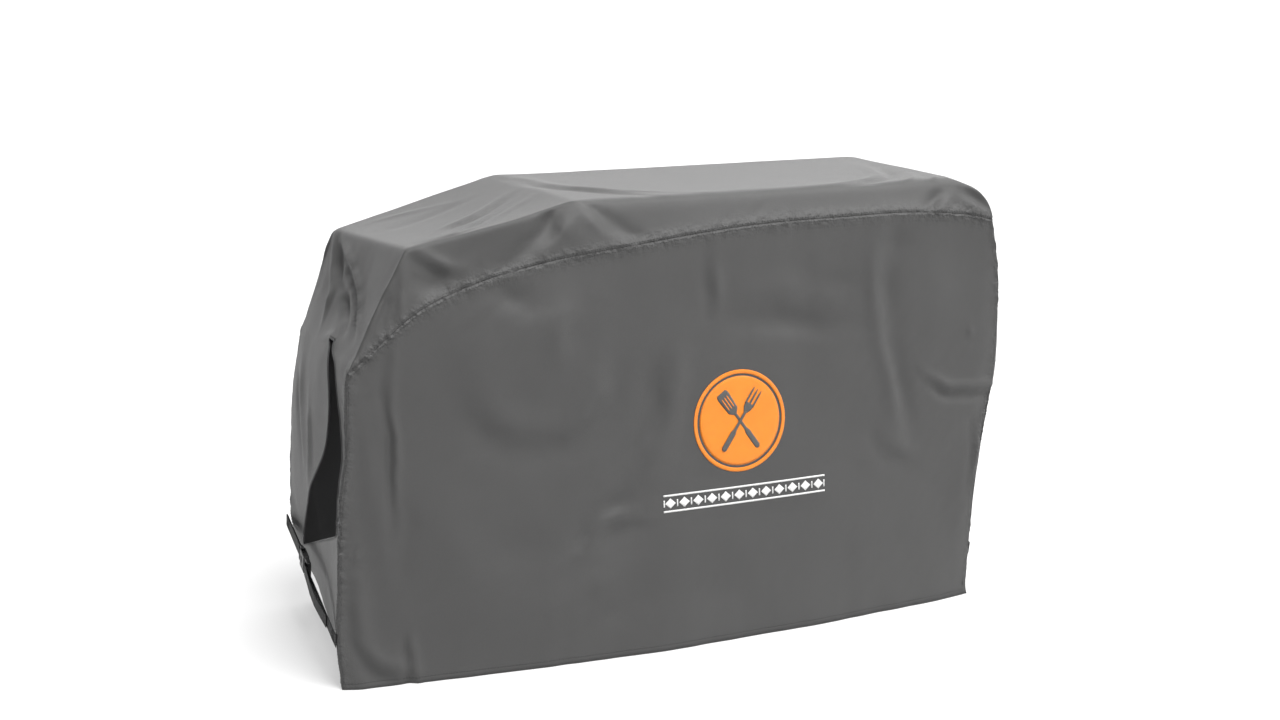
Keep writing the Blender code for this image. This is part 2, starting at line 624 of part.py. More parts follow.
def strap_side(tag, rear, front, outward):
    rear, front = Vector(rear), Vector(front)
    a = (front - rear).normalized()
    n = Vector((outward, 0.0, 0.0))
    n = (n - a * n.dot(a)).normalized()
    w = n.cross(a)
    length = (front - rear).length
    origin = rear + a * BUCKLE_AT
    frame = Matrix((
        (a.x, w.x, n.x, origin.x),
        (a.y, w.y, n.y, origin.y),
        (a.z, w.z, n.z, origin.z),
        (0, 0, 0, 1)))

    # socket half: body with a deep socket, a window in each edge and a bar for the webbing
    socket = box_mesh(tag + "_buckle_socket", (-BODY_L - 0.014, 0.0), (-HALF_W, HALF_W), (-BUCKLE_T / 2, BUCKLE_T / 2), frame, mat=black, bevel=0.0012)
    cut(socket, box_mesh(tag + "_c1", (-SOCKET, 0.002), (-SOCKET_W, SOCKET_W), (-SOCKET_T, SOCKET_T), frame, cutters))
    cut(socket, box_mesh(tag + "_c2", WINDOW, (-0.03, 0.03), (-0.0042, 0.0042), frame, cutters))
    cut(socket, box_mesh(tag + "_c3", (-BODY_L - 0.0105, -BODY_L - 0.0030), (-0.0158, 0.0158), (-0.01, 0.01), frame, cutters))
    # the webbing slot's frame is thinner than the body
    cut(socket, box_mesh(tag + "_c4", (-BODY_L - 0.016, -BODY_L - 0.0015), (-0.03, 0.03), (0.0030, 0.01), frame, cutters))
    cut(socket, box_mesh(tag + "_c5", (-BODY_L - 0.016, -BODY_L - 0.0015), (-0.03, 0.03), (-0.01, -0.0030), frame, cutters))

    # plug half: base with two adjuster slots and a guide rib
    plug = box_mesh(tag + "_buckle_plug", (0.0006, 0.0300), (-HALF_W, HALF_W), (-0.0042, 0.0042), frame, mat=black, bevel=0.0010)
    cut(plug, box_mesh(tag + "_c6", (0.0115, 0.0172), (-0.0157, 0.0157), (-0.01, 0.01), frame, cutters))
    cut(plug, box_mesh(tag + "_c7", (0.0207, 0.0262), (-0.0157, 0.0157), (-0.01, 0.01), frame, cutters))
    cut(plug, box_mesh(tag + "_c8", (-0.0300, 0.0030), (-0.0024, 0.0024), (-0.0026, 0.0026), frame, cutters), "UNION")

    # two prongs with catches that stand in the windows
    for word, s in (("upper", 1.0), ("lower", -1.0)):
        if outward > 0:
            s = -s
        outline = [(-0.0004, 0.0116), (-0.0004, 0.0144), (-0.0262, 0.0144), (SHOULDER, 0.0150), (SHOULDER, 0.0185),
                   (-0.0298, 0.0185), (PRONG_TIP, 0.0140), (PRONG_TIP, 0.0122), (-0.0330, 0.0116)]
        prong = outline_mesh(tag + "_prong_" + word, [(p[0], s * (p[1] - PRONG_HINGE_W)) for p in outline], (-0.0026, 0.0026), frame @ Matrix.Translation((0.0, s * PRONG_HINGE_W, 0.0)), black, along="n")

    # rear webbing: two layers sewn together that end in a loop round the socket's bar
    bar0, bar1 = -BODY_L - 0.014 - 0.0005, -BODY_L - 0.0105 + 0.0005
    t = WEB_T
    loop_n = 0.0036
    rear_end = -BUCKLE_AT + 0.001
    neck = bar0 - 0.012
    outline = [(rear_end, -t), (neck, -t), (bar0 - 0.002, -loop_n - t), (bar1 + 0.0005, -loop_n - t), (bar1 + t + 0.0004, -loop_n + 0.0008),
               (bar1 + t + 0.0004, loop_n - 0.0008), (bar1 + 0.0005, loop_n + t), (bar0 - 0.002, loop_n + t), (neck, t), (rear_end, t)]
    inner = [(bar0 - 0.006, 0.0), (bar0 - 0.0015, loop_n), (bar1, loop_n), (bar1, -loop_n), (bar0 - 0.0015, -loop_n)]
    band = outline_mesh(tag + "_rear_webbing", outline, (-WEB_W / 2, WEB_W / 2), frame, webbing)
    eye = outline_mesh(tag + "_c9", inner, (-0.03, 0.03), frame, webbing)
    cover.objects.unlink(eye)
    cutters.objects.link(eye)
    eye.hide_render = True
    eye.display_type = "WIRE"
    cut(band, eye)

    # front webbing passes over the adjuster; its loose tail lies on top of it
    box_mesh(tag + "_front_webbing", (0.0120, length - BUCKLE_AT - 0.002), (-WEB_W / 2, WEB_W / 2), (0.0047, 0.0047 + t), frame, mat=webbing)
    box_mesh(tag + "_webbing_tail", (0.0180, 0.245), (-WEB_W / 2, WEB_W / 2), (0.0047 + t + 0.0006, 0.0047 + 2 * t + 0.0006), frame, mat=webbing)
    return frame


left_frame = strap_side("left", (-0.7330, 0.262, 0.200), (-0.7690, -0.246, 0.104), -1.0)
right_frame = strap_side("right", (0.7230, 0.262, 0.200), (0.7090, -0.246, 0.104), 1.0)
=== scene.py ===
"""Looks of a fitted griddle cover: cloth, seams, embroidery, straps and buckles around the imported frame."""
import math

import bmesh
import bpy
import numpy as np
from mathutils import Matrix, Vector, noise
from mathutils.bvhtree import BVHTree


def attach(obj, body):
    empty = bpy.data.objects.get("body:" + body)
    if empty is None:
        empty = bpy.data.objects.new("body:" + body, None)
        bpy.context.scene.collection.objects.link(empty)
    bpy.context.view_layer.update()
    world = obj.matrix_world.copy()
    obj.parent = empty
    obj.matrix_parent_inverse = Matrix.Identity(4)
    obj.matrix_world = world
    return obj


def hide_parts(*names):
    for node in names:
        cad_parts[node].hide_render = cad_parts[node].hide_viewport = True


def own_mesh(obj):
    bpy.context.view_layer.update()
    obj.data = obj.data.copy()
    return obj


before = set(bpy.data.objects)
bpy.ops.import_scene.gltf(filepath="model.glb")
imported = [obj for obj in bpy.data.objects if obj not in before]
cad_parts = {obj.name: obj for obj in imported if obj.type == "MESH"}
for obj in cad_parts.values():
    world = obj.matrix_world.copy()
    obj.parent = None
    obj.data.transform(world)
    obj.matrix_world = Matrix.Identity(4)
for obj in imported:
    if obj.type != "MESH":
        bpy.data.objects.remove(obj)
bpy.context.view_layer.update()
scene = bpy.context.scene

# ------------------------------------------------------------------ the cover's own measures, in metres
HOOD_TOP = 0.950
HOOD_LEFT, HOOD_RIGHT = -0.246, 0.664
HOOD_FRONT, HOOD_REAR = -0.250, 0.280
SHELF_EDGE_X = -0.606
SHELF_FRONT_Z, SHELF_REAR_Z = 0.878, 0.848
FRONT_SEAM_Y, BACK_SEAM_Y = 0.258, 0.266
FRONT_BELLY, BACK_BELLY = 0.076, 0.068
CLOTH = 0.0009
FL_EDGE = ((0.0, -0.769), (0.10, -0.7745), (0.20, -0.770), (0.32, -0.765), (0.40, -0.757), (0.48, -0.744), (0.56, -0.742), (0.64, -0.735))
RL_EDGE = ((0.0, -0.645), (0.10, -0.690), (0.19, -0.727), (0.335, -0.720), (0.45, -0.716), (0.595, -0.700), (0.62, -0.690))
FR_EDGE = ((0.0, 0.700), (0.16, 0.712), (0.26, 0.719), (0.342, 0.727), (0.412, 0.742), (0.455, 0.757), (0.565, 0.7735), (0.80, 0.769), (0.856, 0.748))
RR_EDGE = ((0.0, 0.610), (0.10, 0.672), (0.19, 0.716), (0.335, 0.724), (0.45, 0.740), (0.60, 0.756), (0.80, 0.750), (0.85, 0.734))
FRONT_ARCH = ((-0.735, 0.64), (-0.655, 0.706), (-0.588, 0.754), (-0.525, 0.783), (-0.465, 0.803), (-0.38, 0.823), (-0.115, 0.857), (0.155, 0.882), (0.37, 0.886), (0.57, 0.884), (0.70, 0.868), (0.748, 0.856))
BACK_ARCH = ((-0.690, 0.62), (-0.60, 0.710), (-0.53, 0.762), (-0.465, 0.790), (-0.38, 0.818), (-0.115, 0.857), (0.155, 0.878), (0.37, 0.880), (0.57, 0.876), (0.70, 0.860), (0.734, 0.85))
LEFT_Z_FRONT = (0.0, 0.10, 0.20, 0.32, 0.40, 0.48, 0.56, 0.64)
LEFT_Z_REAR = (0.0, 0.045, 0.085, 0.135, 0.27, 0.395, 0.51, 0.62)
RIGHT_Z_FRONT = (0.856, 0.74, 0.64, 0.53, 0.42, 0.32, 0.16, 0.0)
RIGHT_Z_REAR = (0.85, 0.73, 0.62, 0.50, 0.35, 0.17, 0.08, 0.0)
VENT_FRONT = (-0.19, -0.20, -0.225, -0.244, -0.246, -0.243, -0.228, -0.168)
VENT_REAR = (0.08, 0.12, 0.17, 0.215, 0.030, -0.118, -0.150, -0.098)
TUCK = ((0.0, 0.018), (0.08, 0.014), (0.16, 0.006), (0.24, 0.0), (0.45, -0.014), (0.62, -0.008), (0.85, 0.0))
TUCK_RIGHT = ((0.0, 0.110), (0.08, 0.085), (0.16, 0.038), (0.24, 0.0), (0.45, -0.014), (0.62, -0.008), (0.85, 0.0))
N_ACROSS = 8


def table(points, value):
    return np.interp(value, [p[0] for p in points], [p[1] for p in points])


def hermite(xs, ys, v):
    """A smooth curve through the points; ys may hold several columns."""
    xs, ys, v = np.asarray(xs, float), np.asarray(ys, float), np.asarray(v, float)
    h = np.diff(xs)
    d = np.diff(ys, axis=0) / (h[:, None] if ys.ndim > 1 else h)
    m = np.empty_like(ys)
    m[0], m[-1] = d[0], d[-1]
    if len(xs) > 2:
        a, b = h[:-1], h[1:]
        if ys.ndim > 1:
            a, b = a[:, None], b[:, None]
        m[1:-1] = (d[:-1] * b + d[1:] * a) / (a + b)
    i = np.clip(np.searchsorted(xs, v, side="right") - 1, 0, len(h) - 1)
    t = (v - xs[i]) / h[i]
    hh = h[i]
    if ys.ndim > 1:
        t, hh = t[:, None], hh[:, None]
    t2, t3 = t * t, t * t * t
    return (2 * t3 - 3 * t2 + 1) * ys[i] + (t3 - 2 * t2 + t) * hh * m[i] + (3 * t2 - 2 * t3) * ys[i + 1] + (t3 - t2) * hh * m[i + 1]


def curve(points, value):
    xs = [p[0] for p in points]
    return hermite(xs, [p[1] for p in points], np.clip(value, xs[0], xs[-1]))


def hang(x, z):
    return np.maximum(0.0, np.cos(np.pi * np.asarray(x) / 1.60)) ** 0.8 * np.maximum(0.0, 1.0 - np.asarray(z) / 0.90)


def front_place(x, z):
    x, z = np.asarray(x, float), np.asarray(z, float)
    return np.stack((x, -(FRONT_SEAM_Y + FRONT_BELLY * hang(x, z)), z), -1)


def back_place(x, z):
    x, z = np.asarray(x, float), np.asarray(z, float)
    return np.stack((x, BACK_SEAM_Y + BACK_BELLY * hang(x, z), z), -1)


# ------------------------------------------------------------------ coarse rows of the strip, as in the frame
def side_row(front, rear, vent_front, vent_rear, outward):
    ys = [front[1], vent_front] + [vent_front + (vent_rear - vent_front) * k / 3 for k in (1, 2, 3)]
    ys += [vent_rear + (rear[1] - vent_rear) * k / 4 for k in (1, 2, 3, 4)]
    row = []
    for k, y in enumerate(ys):
        s = (y - front[1]) / (rear[1] - front[1])
        p = front + (rear - front) * s
        if 0 < k < N_ACROSS:
            p[0] -= outward * table(TUCK if outward < 0 else TUCK_RIGHT, p[2]) * math.sin(math.pi * s) ** 0.8
        row.append(p)
    return row


def plain_row(front, rear):
    return [front + (rear - front) * k / N_ACROSS for k in range(N_ACROSS + 1)]


A = np.array((SHELF_EDGE_X, -0.246, SHELF_FRONT_Z))
B = np.array((SHELF_EDGE_X - 0.002, 0.258, SHELF_REAR_Z))
C = np.array((HOOD_LEFT, HOOD_FRONT - 0.004, HOOD_TOP))
D = np.array((HOOD_LEFT + 0.012, HOOD_REAR, HOOD_TOP))
E = np.array((HOOD_RIGHT, HOOD_FRONT + 0.006, HOOD_TOP))
F = np.array((HOOD_RIGHT + 0.004, HOOD_REAR - 0.012, HOOD_TOP))
E_MID = np.array((0.722, -0.252, 0.914))
F_MID = np.array((0.716, 0.270, 0.910))
rows = []
for i in range(8):
    zf, zr = LEFT_Z_FRONT[i], LEFT_Z_REAR[i]
    rows.append(side_row(front_place(table(FL_EDGE, zf), zf), back_place(table(RL_EDGE, zr), zr), VENT_FRONT[i], VENT_REAR[i], -1.0))
TL, TLR = rows[7][0].copy(), rows[7][8].copy()
rows.append(side_row(TL + (A - TL) * 0.17, TLR + (B - TLR) * 0.17, -0.086, -0.050, -1.0))
rows.append(plain_row(TL + (A - TL) * 0.58, TLR + (B - TLR) * 0.58))
rows.append(plain_row(A, B))
for t in (0.2, 0.4, 0.6, 0.8):
    rows.append(plain_row(A + (C - A) * t, B + (D - B) * t))
for k in range(9):
    rows.append(plain_row(C + (E - C) * k / 8, D + (F - D) * k / 8))
rows.append(plain_row(E_MID, F_MID))
TR, TRR = front_place(table(FR_EDGE, 0.856), 0.856), back_place(table(RR_EDGE, 0.85), 0.85)
rows.append(plain_row(TR, TRR))
for i in range(1, 8):
    zf, zr = RIGHT_Z_FRONT[i], RIGHT_Z_REAR[i]
    vf = (-0.168, -0.196, -0.226, -0.245, -0.244, -0.20, -0.19)[i - 1]
    vr = (-0.144, -0.155, -0.150, -0.050, 0.155, 0.10, 0.05)[i - 1]
    rows.append(side_row(front_place(table(FR_EDGE, zf), zf), back_place(table(RR_EDGE, zr), zr), vf, vr, 1.0))
rows = np.array(rows)                                   # 33 x 9 x 3
ROW_TL, ROW_A, ROW_C, ROW_E, ROW_TR = 7, 10, 15, 23, 25
LAST = len(rows) - 1

# ------------------------------------------------------------------ fine grids
FINE = 1.0


def steps(n):
    return max(2, int(round(n * FINE)))


N_SIDE, N_EAR, N_SLOPE, N_HOOD, N_TURN, N_COL, N_GUS = steps(14), steps(13), steps(13), steps(18), steps(10), steps(11), steps(16)
per_row = [N_SIDE] * 7 + [N_EAR] * 3 + [N_SLOPE] * 5 + [N_HOOD] * 8 + [N_TURN] * 2 + [N_SIDE] * 7
assert len(per_row) == LAST
K = np.concatenate([i + np.arange(n) / n for i, n in enumerate(per_row)] + [[LAST]])
J = np.concatenate([j + np.arange(N_COL) / N_COL for j in range(N_ACROSS)] + [[N_ACROSS]])
row_at = {int(round(k)): i for i, k in enumerate(K) if abs(k - round(k)) < 1e-9}


def along(grid, value):
    """Smooth along the rows, with folds at the shelf edge and at the hood's two edges."""
    out = np.empty((len(value),) + grid.shape[1:])
    for lo, hi in ((0, ROW_A), (ROW_A, ROW_C), (ROW_C, ROW_E), (ROW_E, LAST)):
        pick = (value >= lo) & (value <= hi)
        seg = grid[lo:hi + 1].reshape(hi - lo + 1, -1)
        flat = hermite(np.arange(lo, hi + 1), seg, value[pick])
        out[pick] = flat.reshape((-1,) + grid.shape[1:])
    return out


fine = along(rows, K)                                   # rows x 9 x 3
STRIP = np.stack([hermite(np.arange(N_ACROSS + 1), fine[i], J) for i in range(len(K))])
NK, NJ = len(K), len(J)

# the hood's top sinks a little between its edges, and the slope too
kk, jj = np.meshgrid(K, J, indexing="ij")
on_hood = np.clip((kk - ROW_C) / (ROW_E - ROW_C), 0, 1)
STRIP[:, :, 2] -= 0.004 * np.sin(np.pi * on_hood) ** 0.5 * np.sin(np.pi * jj / N_ACROSS) ** 0.7
on_slope = np.clip((kk - ROW_A) / (ROW_C - ROW_A), 0, 1)
STRIP[:, :, 2] -= 0.010 * np.sin(np.pi * on_slope) * np.sin(np.pi * jj / N_ACROSS) ** 0.6


def seam_curve(kind):
    arch = FRONT_ARCH if kind == "front" else BACK_ARCH
    place = front_place if kind == "front" else back_place
    col = 0 if kind == "front" else N_ACROSS
    xs = []
    for k in range(ROW_TL, ROW_TR + 1):
        x = rows[k][col][0]
        if ROW_TL < k < ROW_A:
            lo = rows[ROW_TL][col][0]
            x = lo + (SHELF_EDGE_X - 0.014 - lo) * (k - ROW_TL) / (ROW_A - ROW_TL)
        elif k == ROW_A:
            x = SHELF_EDGE_X - 0.014
        xs.append(x)
    kv = K[row_at[ROW_TL]:row_at[ROW_TR] + 1]
    x = hermite(np.arange(ROW_TL, ROW_TR + 1), np.array(xs), kv)
    x[0], x[-1] = xs[0], xs[-1]
    return place(x, curve(arch, x))


FRONT_SEAM, BACK_SEAM = seam_curve("front"), seam_curve("back")
K0, K1 = row_at[ROW_TL], row_at[ROW_TR]


def gusset(seam, col):
    ridge = STRIP[K0:K1 + 1, col]
    g = np.linspace(0, 1, N_GUS + 1)[None, :, None]
    out = seam[:, None, :] * (1 - g) + ridge[:, None, :] * g
    out[0], out[-1] = ridge[0], ridge[-1]
    return out


def panel_grid(seam, col, place):
    left = STRIP[:row_at[7] + 1, col]
    right = STRIP[::-1, col][:row_at[7] + 1]
    n = row_at[7]
    s = ((seam[:, 0] - seam[0, 0]) / (seam[-1, 0] - seam[0, 0]))[None, :]
    tl, tr = (left[:, 2] / left[-1, 2])[:, None], (right[:, 2] / right[-1, 2])[:, None]
    tt = tl * (1 - s) + tr * s
    bottom = left[0, 0] * (1 - s) + right[0, 0] * s
    side = (left[:, 0][:, None] - (left[0, 0] * (1 - tt) + left[-1, 0] * tt)) * (1 - s)
    side = side + (right[:, 0][:, None] - (right[0, 0] * (1 - tt) + right[-1, 0] * tt)) * s
    x = bottom * (1 - tt) + seam[:, 0][None, :] * tt + side
    out = place(x, seam[:, 2][None, :] * tt)
    out[:, 0], out[:, -1], out[n] = left, right, seam
    return out


FRONT, BACK = panel_grid(FRONT_SEAM, 0, front_place), panel_grid(BACK_SEAM, NJ - 1, back_place)
GUS_F, GUS_B = gusset(FRONT_SEAM, 0), gusset(BACK_SEAM, NJ - 1)

# ------------------------------------------------------------------ one welded mesh of all the cloth
grids = {"front": FRONT, "back": BACK, "strip": STRIP, "gus_f": GUS_F, "gus_b": GUS_B}
base, allv, total = {}, [], 0
for name, g in grids.items():
    base[name] = total
    allv.append(g.reshape(-1, 3))
    total += g.shape[0] * g.shape[1]
raw = np.concatenate(allv)
_, first, weld = np.unique(np.round(raw * 1e5).astype(np.int64), axis=0, return_index=True, return_inverse=True)
weld = weld.reshape(-1)
P = raw[first].copy()


def quads(name, keep=None):
    g = grids[name]
    m, n = g.shape[:2]
    idx = base[name] + np.arange(m * n).reshape(m, n)
    q = np.stack((idx[:-1, :-1], idx[:-1, 1:], idx[1:, 1:], idx[1:, :-1]), -1)
    if keep is not None:
        q = q[keep]
    return weld[q.reshape(-1, 4)]


kc, jc = (K[:-1] + K[1:]) / 2, (J[:-1] + J[1:]) / 2
KC, JC = np.meshgrid(kc, jc, indexing="ij")
vent = ((KC > 3) & (KC < 8) & (JC > 1) & (JC < 4)) | ((KC > ROW_TR + 1) & (KC < ROW_TR + 5) & (JC > 1) & (JC < 4))
Q = {"front": quads("front"), "back": quads("back"), "strip": quads("strip", ~vent), "gus_f": quads("gus_f"), "gus_b": quads("gus_b")}
# all faces look outwards
for name in Q:
    q = Q[name]
    if name in ("back", "gus_f"):
        q = q[:, ::-1]
    Q[name] = q
centre = np.array((0.0, 0.0, 0.45))
for name, q in Q.items():
    n = np.cross(P[q[:, 2]] - P[q[:, 0]], P[q[:, 3]] - P[q[:, 1]])
    out = P[q].mean(1) - centre
    if name in ("front", "gus_f"):
        out = np.zeros_like(out) + (0, -1.0, 0.3)
    if name in ("back", "gus_b"):
        out = np.zeros_like(out) + (0, 1.0, 0.3)
    if float((n * out).sum()) < 0:
        Q[name] = q[:, ::-1]
ALLQ = np.concatenate(list(Q.values()))
edges = np.unique(np.sort(np.concatenate([ALLQ[:, [0, 1]], ALLQ[:, [1, 2]], ALLQ[:, [2, 3]], ALLQ[:, [3, 0]]]), axis=1), axis=0)
edges = edges[edges[:, 0] != edges[:, 1]]
NV = len(P)
degree = np.maximum(np.bincount(edges.ravel(), minlength=NV).astype(float), 1.0)


def diffuse(values, times, weight):
    """Spread values over the mesh; weight says how much each point gives way."""
    v = values.copy()
    w = weight if v.ndim == 1 else weight[:, None]
    for _ in range(times):
        s = np.zeros_like(v)
        if v.ndim == 1:
            s = np.bincount(edges[:, 0], v[edges[:, 1]], NV) + np.bincount(edges[:, 1], v[edges[:, 0]], NV)
            v = v + w * (s / degree - v)
        else:
            for c in range(v.shape[1]):
                s[:, c] = np.bincount(edges[:, 0], v[edges[:, 1], c], NV) + np.bincount(edges[:, 1], v[edges[:, 0], c], NV)
            v = v + w * (s / degree[:, None] - v)
    return v


def vertex_normals(pts):
    n = np.cross(pts[ALLQ[:, 2]] - pts[ALLQ[:, 0]], pts[ALLQ[:, 3]] - pts[ALLQ[:, 1]])
    out = np.zeros_like(pts)
    for c in range(3):
        for k in range(4):
            out[:, c] += np.bincount(ALLQ[:, k], n[:, c], NV)
    return out / np.maximum(np.linalg.norm(out, axis=1), 1e-12)[:, None]


# open edges: the hem and the rims of the vents
face_edges = np.sort(np.concatenate([ALLQ[:, [0, 1]], ALLQ[:, [1, 2]], ALLQ[:, [2, 3]], ALLQ[:, [3, 0]]]), axis=1)
ue, uc = np.unique(face_edges, axis=0, return_counts=True)
open_edges = ue[(uc == 1) & (ue[:, 0] != ue[:, 1])]
is_open = np.zeros(NV, bool)
is_open[open_edges.ravel()] = True
is_hem = P[:, 2] < 1e-5

def smooth01(t):
    t = np.clip(t, 0, 1)
    return t * t * (3 - 2 * t)


give = np.full(NV, 0.55)
give[is_open] = 0.0
P = diffuse(P, 4, give)
# the cloth rounds the long edges of the hood's top
round_off = np.zeros(NV)
for y_edge in (HOOD_FRONT - 0.002, HOOD_REAR - 0.006):
    d = np.hypot(P[:, 1] - y_edge, P[:, 2] - HOOD_TOP)
    inside = smooth01((P[:, 0] - HOOD_LEFT) / 0.05) * smooth01((HOOD_RIGHT + 0.04 - P[:, 0]) / 0.05)
    round_off = np.maximum(round_off, smooth01((0.055 - d) / 0.045) * inside)
P = diffuse(P, 26, 0.6 * round_off)
# the hood's front edge stands a little behind the seam, so the cloth between them leans back
for sign, y_edge, y_seam in ((1.0, HOOD_FRONT - 0.002, -FRONT_SEAM_Y), (-1.0, HOOD_REAR - 0.006, BACK_SEAM_Y)):
    arch = curve(FRONT_ARCH if sign > 0 else BACK_ARCH, P[:, 0])
    rise = np.clip((P[:, 2] - arch) / np.maximum(HOOD_TOP - arch, 0.01), 0, 1)
    behind = np.clip(1 - sign * (P[:, 1] - y_edge) / 0.12, 0, 1)
    where = smooth01((P[:, 0] - HOOD_LEFT + 0.16) / 0.16) * smooth01((HOOD_RIGHT + 0.06 - P[:, 0]) / 0.08)
    P[:, 1] += sign * 0.023 * rise * np.minimum(behind, 1.0) * where * (P[:, 2] > 0.80)
NRM = vertex_normals(P)


# ------------------------------------------------------------------ folds
def nearest(points, line):
    """For each point: distance to the line, run along it (0 to 1), and its place left or right of it."""
    line = np.asarray(line, float)
    seg = np.linalg.norm(np.diff(line, axis=0), axis=1)
    cum = np.concatenate(([0.0], np.cumsum(seg)))
    best = np.full(len(points), 1e9)
    run, side = np.zeros(len(points)), np.zeros(len(points))
    for i in range(len(seg)):
        a, b = line[i], line[i + 1]
        d = (b - a) / seg[i]
        t = np.clip((points - a) @ d, 0, seg[i])
        off = points - a - t[:, None] * d
        dist = np.linalg.norm(off, axis=1)
        closer = dist < best
        best[closer] = dist[closer]
        run[closer] = ((cum[i] + t) / cum[-1])[closer]
        lateral = np.einsum("ij,ij->i", np.cross(NRM_IN_USE, np.broadcast_to(d, points.shape)), off)
        side[closer] = lateral[closer]
    return best, run, side


DISP = np.zeros(NV)
PW = P.copy()
for i, p in enumerate(P.tolist()):
    x, y, z = p
    PW[i, 0] += 0.014 * noise.noise((x * 8.0, y * 8.0, z * 8.0 + 2.0)) + 0.004 * noise.noise((x * 26.0, y * 26.0, z * 26.0))
    PW[i, 1] += 0.014 * noise.noise((x * 8.0 + 31.0, y * 8.0, z * 8.0)) * (abs(y) < 0.235)
    PW[i, 2] += 0.012 * noise.noise((x * 8.0, y * 8.0 + 17.0, z * 8.0)) + 0.004 * noise.noise((x * 26.0, y * 26.0 + 9.0, z * 26.0))


def sample(line, n=10):
    """More points on a smooth curve through the given ones."""
    line = np.asarray(line, float)
    if len(line) == 2:
        return line
    cum = np.concatenate(([0.0], np.cumsum(np.linalg.norm(np.diff(line, axis=0), axis=1))))
    return hermite(cum, line, np.linspace(0, cum[-1], n))


def stroke(line, width, height, kind="bump", taper=(0.0, 1.0, 1.0, 0.0), only=None):
    """Adds a fold along a line: bump, crease (sharp), or flank (up on the left, down on the right)."""
    global NRM_IN_USE, DISP
    if only is not None and (only is on_gus or only is left_side):
        height = height * 1.35
    pts = sample(line)
    lo, hi = pts.min(0) - 3.2 * width, pts.max(0) + 3.2 * width
    pick = ((PW > lo) & (PW < hi)).all(1)
    if only is not None:
        pick &= only
    if not pick.any():
        return
    NRM_IN_USE = NRM[pick]
    d, run, side = nearest(PW[pick], pts)
    amp = height * np.interp(run, np.linspace(0, 1, len(taper)), taper)
    beat = float(pts[0][0] * 40 + pts[0][2] * 70)
    amp = amp * (1.0 + 0.35 * np.sin(run * 7.0 + beat) * np.sin(run * 3.1 + 2 * beat))
    if kind == "bump":
        f = np.exp(-(d / width) ** 2)
    elif kind == "crease":
        f = np.exp(-np.sqrt(d * d + 0.002 ** 2) / width * 1.6) * 1.3
    else:
        q = side / width
        f = q * np.exp(0.5 - 0.5 * q * q) * np.exp(-np.maximum(0, d - np.abs(side)) / width)
    DISP[pick] += amp * f


def blob(at, rx, rz, height, turn=0.0, only=None, edge=None, axes=(0, 2)):
    """A soft swelling (or hollow) with half widths rx and rz; edge makes its border crisper."""
    global DISP
    c, s = math.cos(turn), math.sin(turn)
    u, v = PW[:, axes[0]] - at[0], PW[:, axes[1]] - at[1]
    a, b = (u * c + v * s) / rx, (-u * s + v * c) / rz
    r = np.sqrt(a * a + b * b)
    f = np.exp(-r * r) if edge is None else smooth01((1 + edge - r) / (2 * edge))
    f = f * height
    if only is not None:
        f = np.where(only, f, 0.0)
    DISP += f


on_front = np.zeros(NV, bool)
on_front[np.unique(Q["front"])] = True
on_back = np.zeros(NV, bool)
on_back[np.unique(Q["back"])] = True
on_gus = np.zeros(NV, bool)
on_gus[np.unique(Q["gus_f"])] = True
on_gus_b = np.zeros(NV, bool)
on_gus_b[np.unique(Q["gus_b"])] = True
on_strip = np.zeros(NV, bool)
on_strip[np.unique(Q["strip"])] = True
left_side = on_strip & (P[:, 0] < -0.60)
slope = on_strip & (P[:, 0] > -0.62) & (P[:, 0] < -0.235)
top = on_strip & (P[:, 0] > -0.25) & (P[:, 2] > 0.90)


def fy(x, z, dy=0.0):
    p = front_place(x, z)
    return (float(p[0]), float(p[1]) + dy, float(p[2]))


def front_line(*pts):
    return [fy(x, z) for x, z in pts]


# front gusset, around the hood's front left corner and the shelf's corner
gus = on_gus | on_front
stroke(((-0.250, -0.255, 0.948), (-0.306, -0.256, 0.900), (-0.347, -0.259, 0.864), (-0.385, -0.263, 0.825)), 0.017, 0.010, "flank", (0.25, 1.0, 1.0, 0.5), on_gus)
stroke(((-0.258, -0.255, 0.925), (-0.318, -0.256, 0.872), (-0.362, -0.262, 0.820)), 0.022, -0.008, "bump", (0.2, 1.0, 1.0, 0.6), on_gus)
stroke(((-0.238, -0.255, 0.945), (-0.178, -0.258, 0.903), (-0.118, -0.261, 0.862)), 0.013, -0.006, "flank", (0.3, 1.0, 0.9, 0.4), on_gus)
stroke(((-0.236, -0.255, 0.93), (-0.19, -0.258, 0.90), (-0.14, -0.262, 0.855)), 0.012, -0.0045, "bump", (0.3, 1.0, 0.9, 0.2), on_gus)
blob((-0.232, 0.880), 0.055, 0.045, 0.010, 0.0, on_gus)
blob((-0.560, 0.812), 0.040, 0.020, -0.011, -0.25, on_gus)
stroke(((-0.600, -0.248, 0.868), (-0.560, -0.252, 0.846), (-0.500, -0.258, 0.826)), 0.010, 0.005, "flank", (0.2, 1.0, 1.0, 0.2), on_gus)
stroke(((-0.612, -0.248, 0.862), (-0.618, -0.252, 0.810), (-0.626, -0.257, 0.750)), 0.010, 0.005, "bump", (0.2, 1.0, 0.9, 0.5), on_gus)
stroke(((-0.640, -0.25, 0.81), (-0.655, -0.255, 0.765), (-0.664, -0.258, 0.725)), 0.008, -0.004, "bump", (0.0, 1.0, 1.0, 0.2), on_gus)
stroke(((0.650, -0.249, 0.935), (0.618, -0.252, 0.910), (0.580, -0.258, 0.886)), 0.010, 0.0045, "flank", (0.1, 1.0, 1.0, 0.3), on_gus)
stroke(((0.655, -0.249, 0.93), (0.690, -0.255, 0.900), (0.735, -0.258, 0.872)), 0.010, -0.003, "flank", (0.1, 1.0, 1.0, 0.3), on_gus)

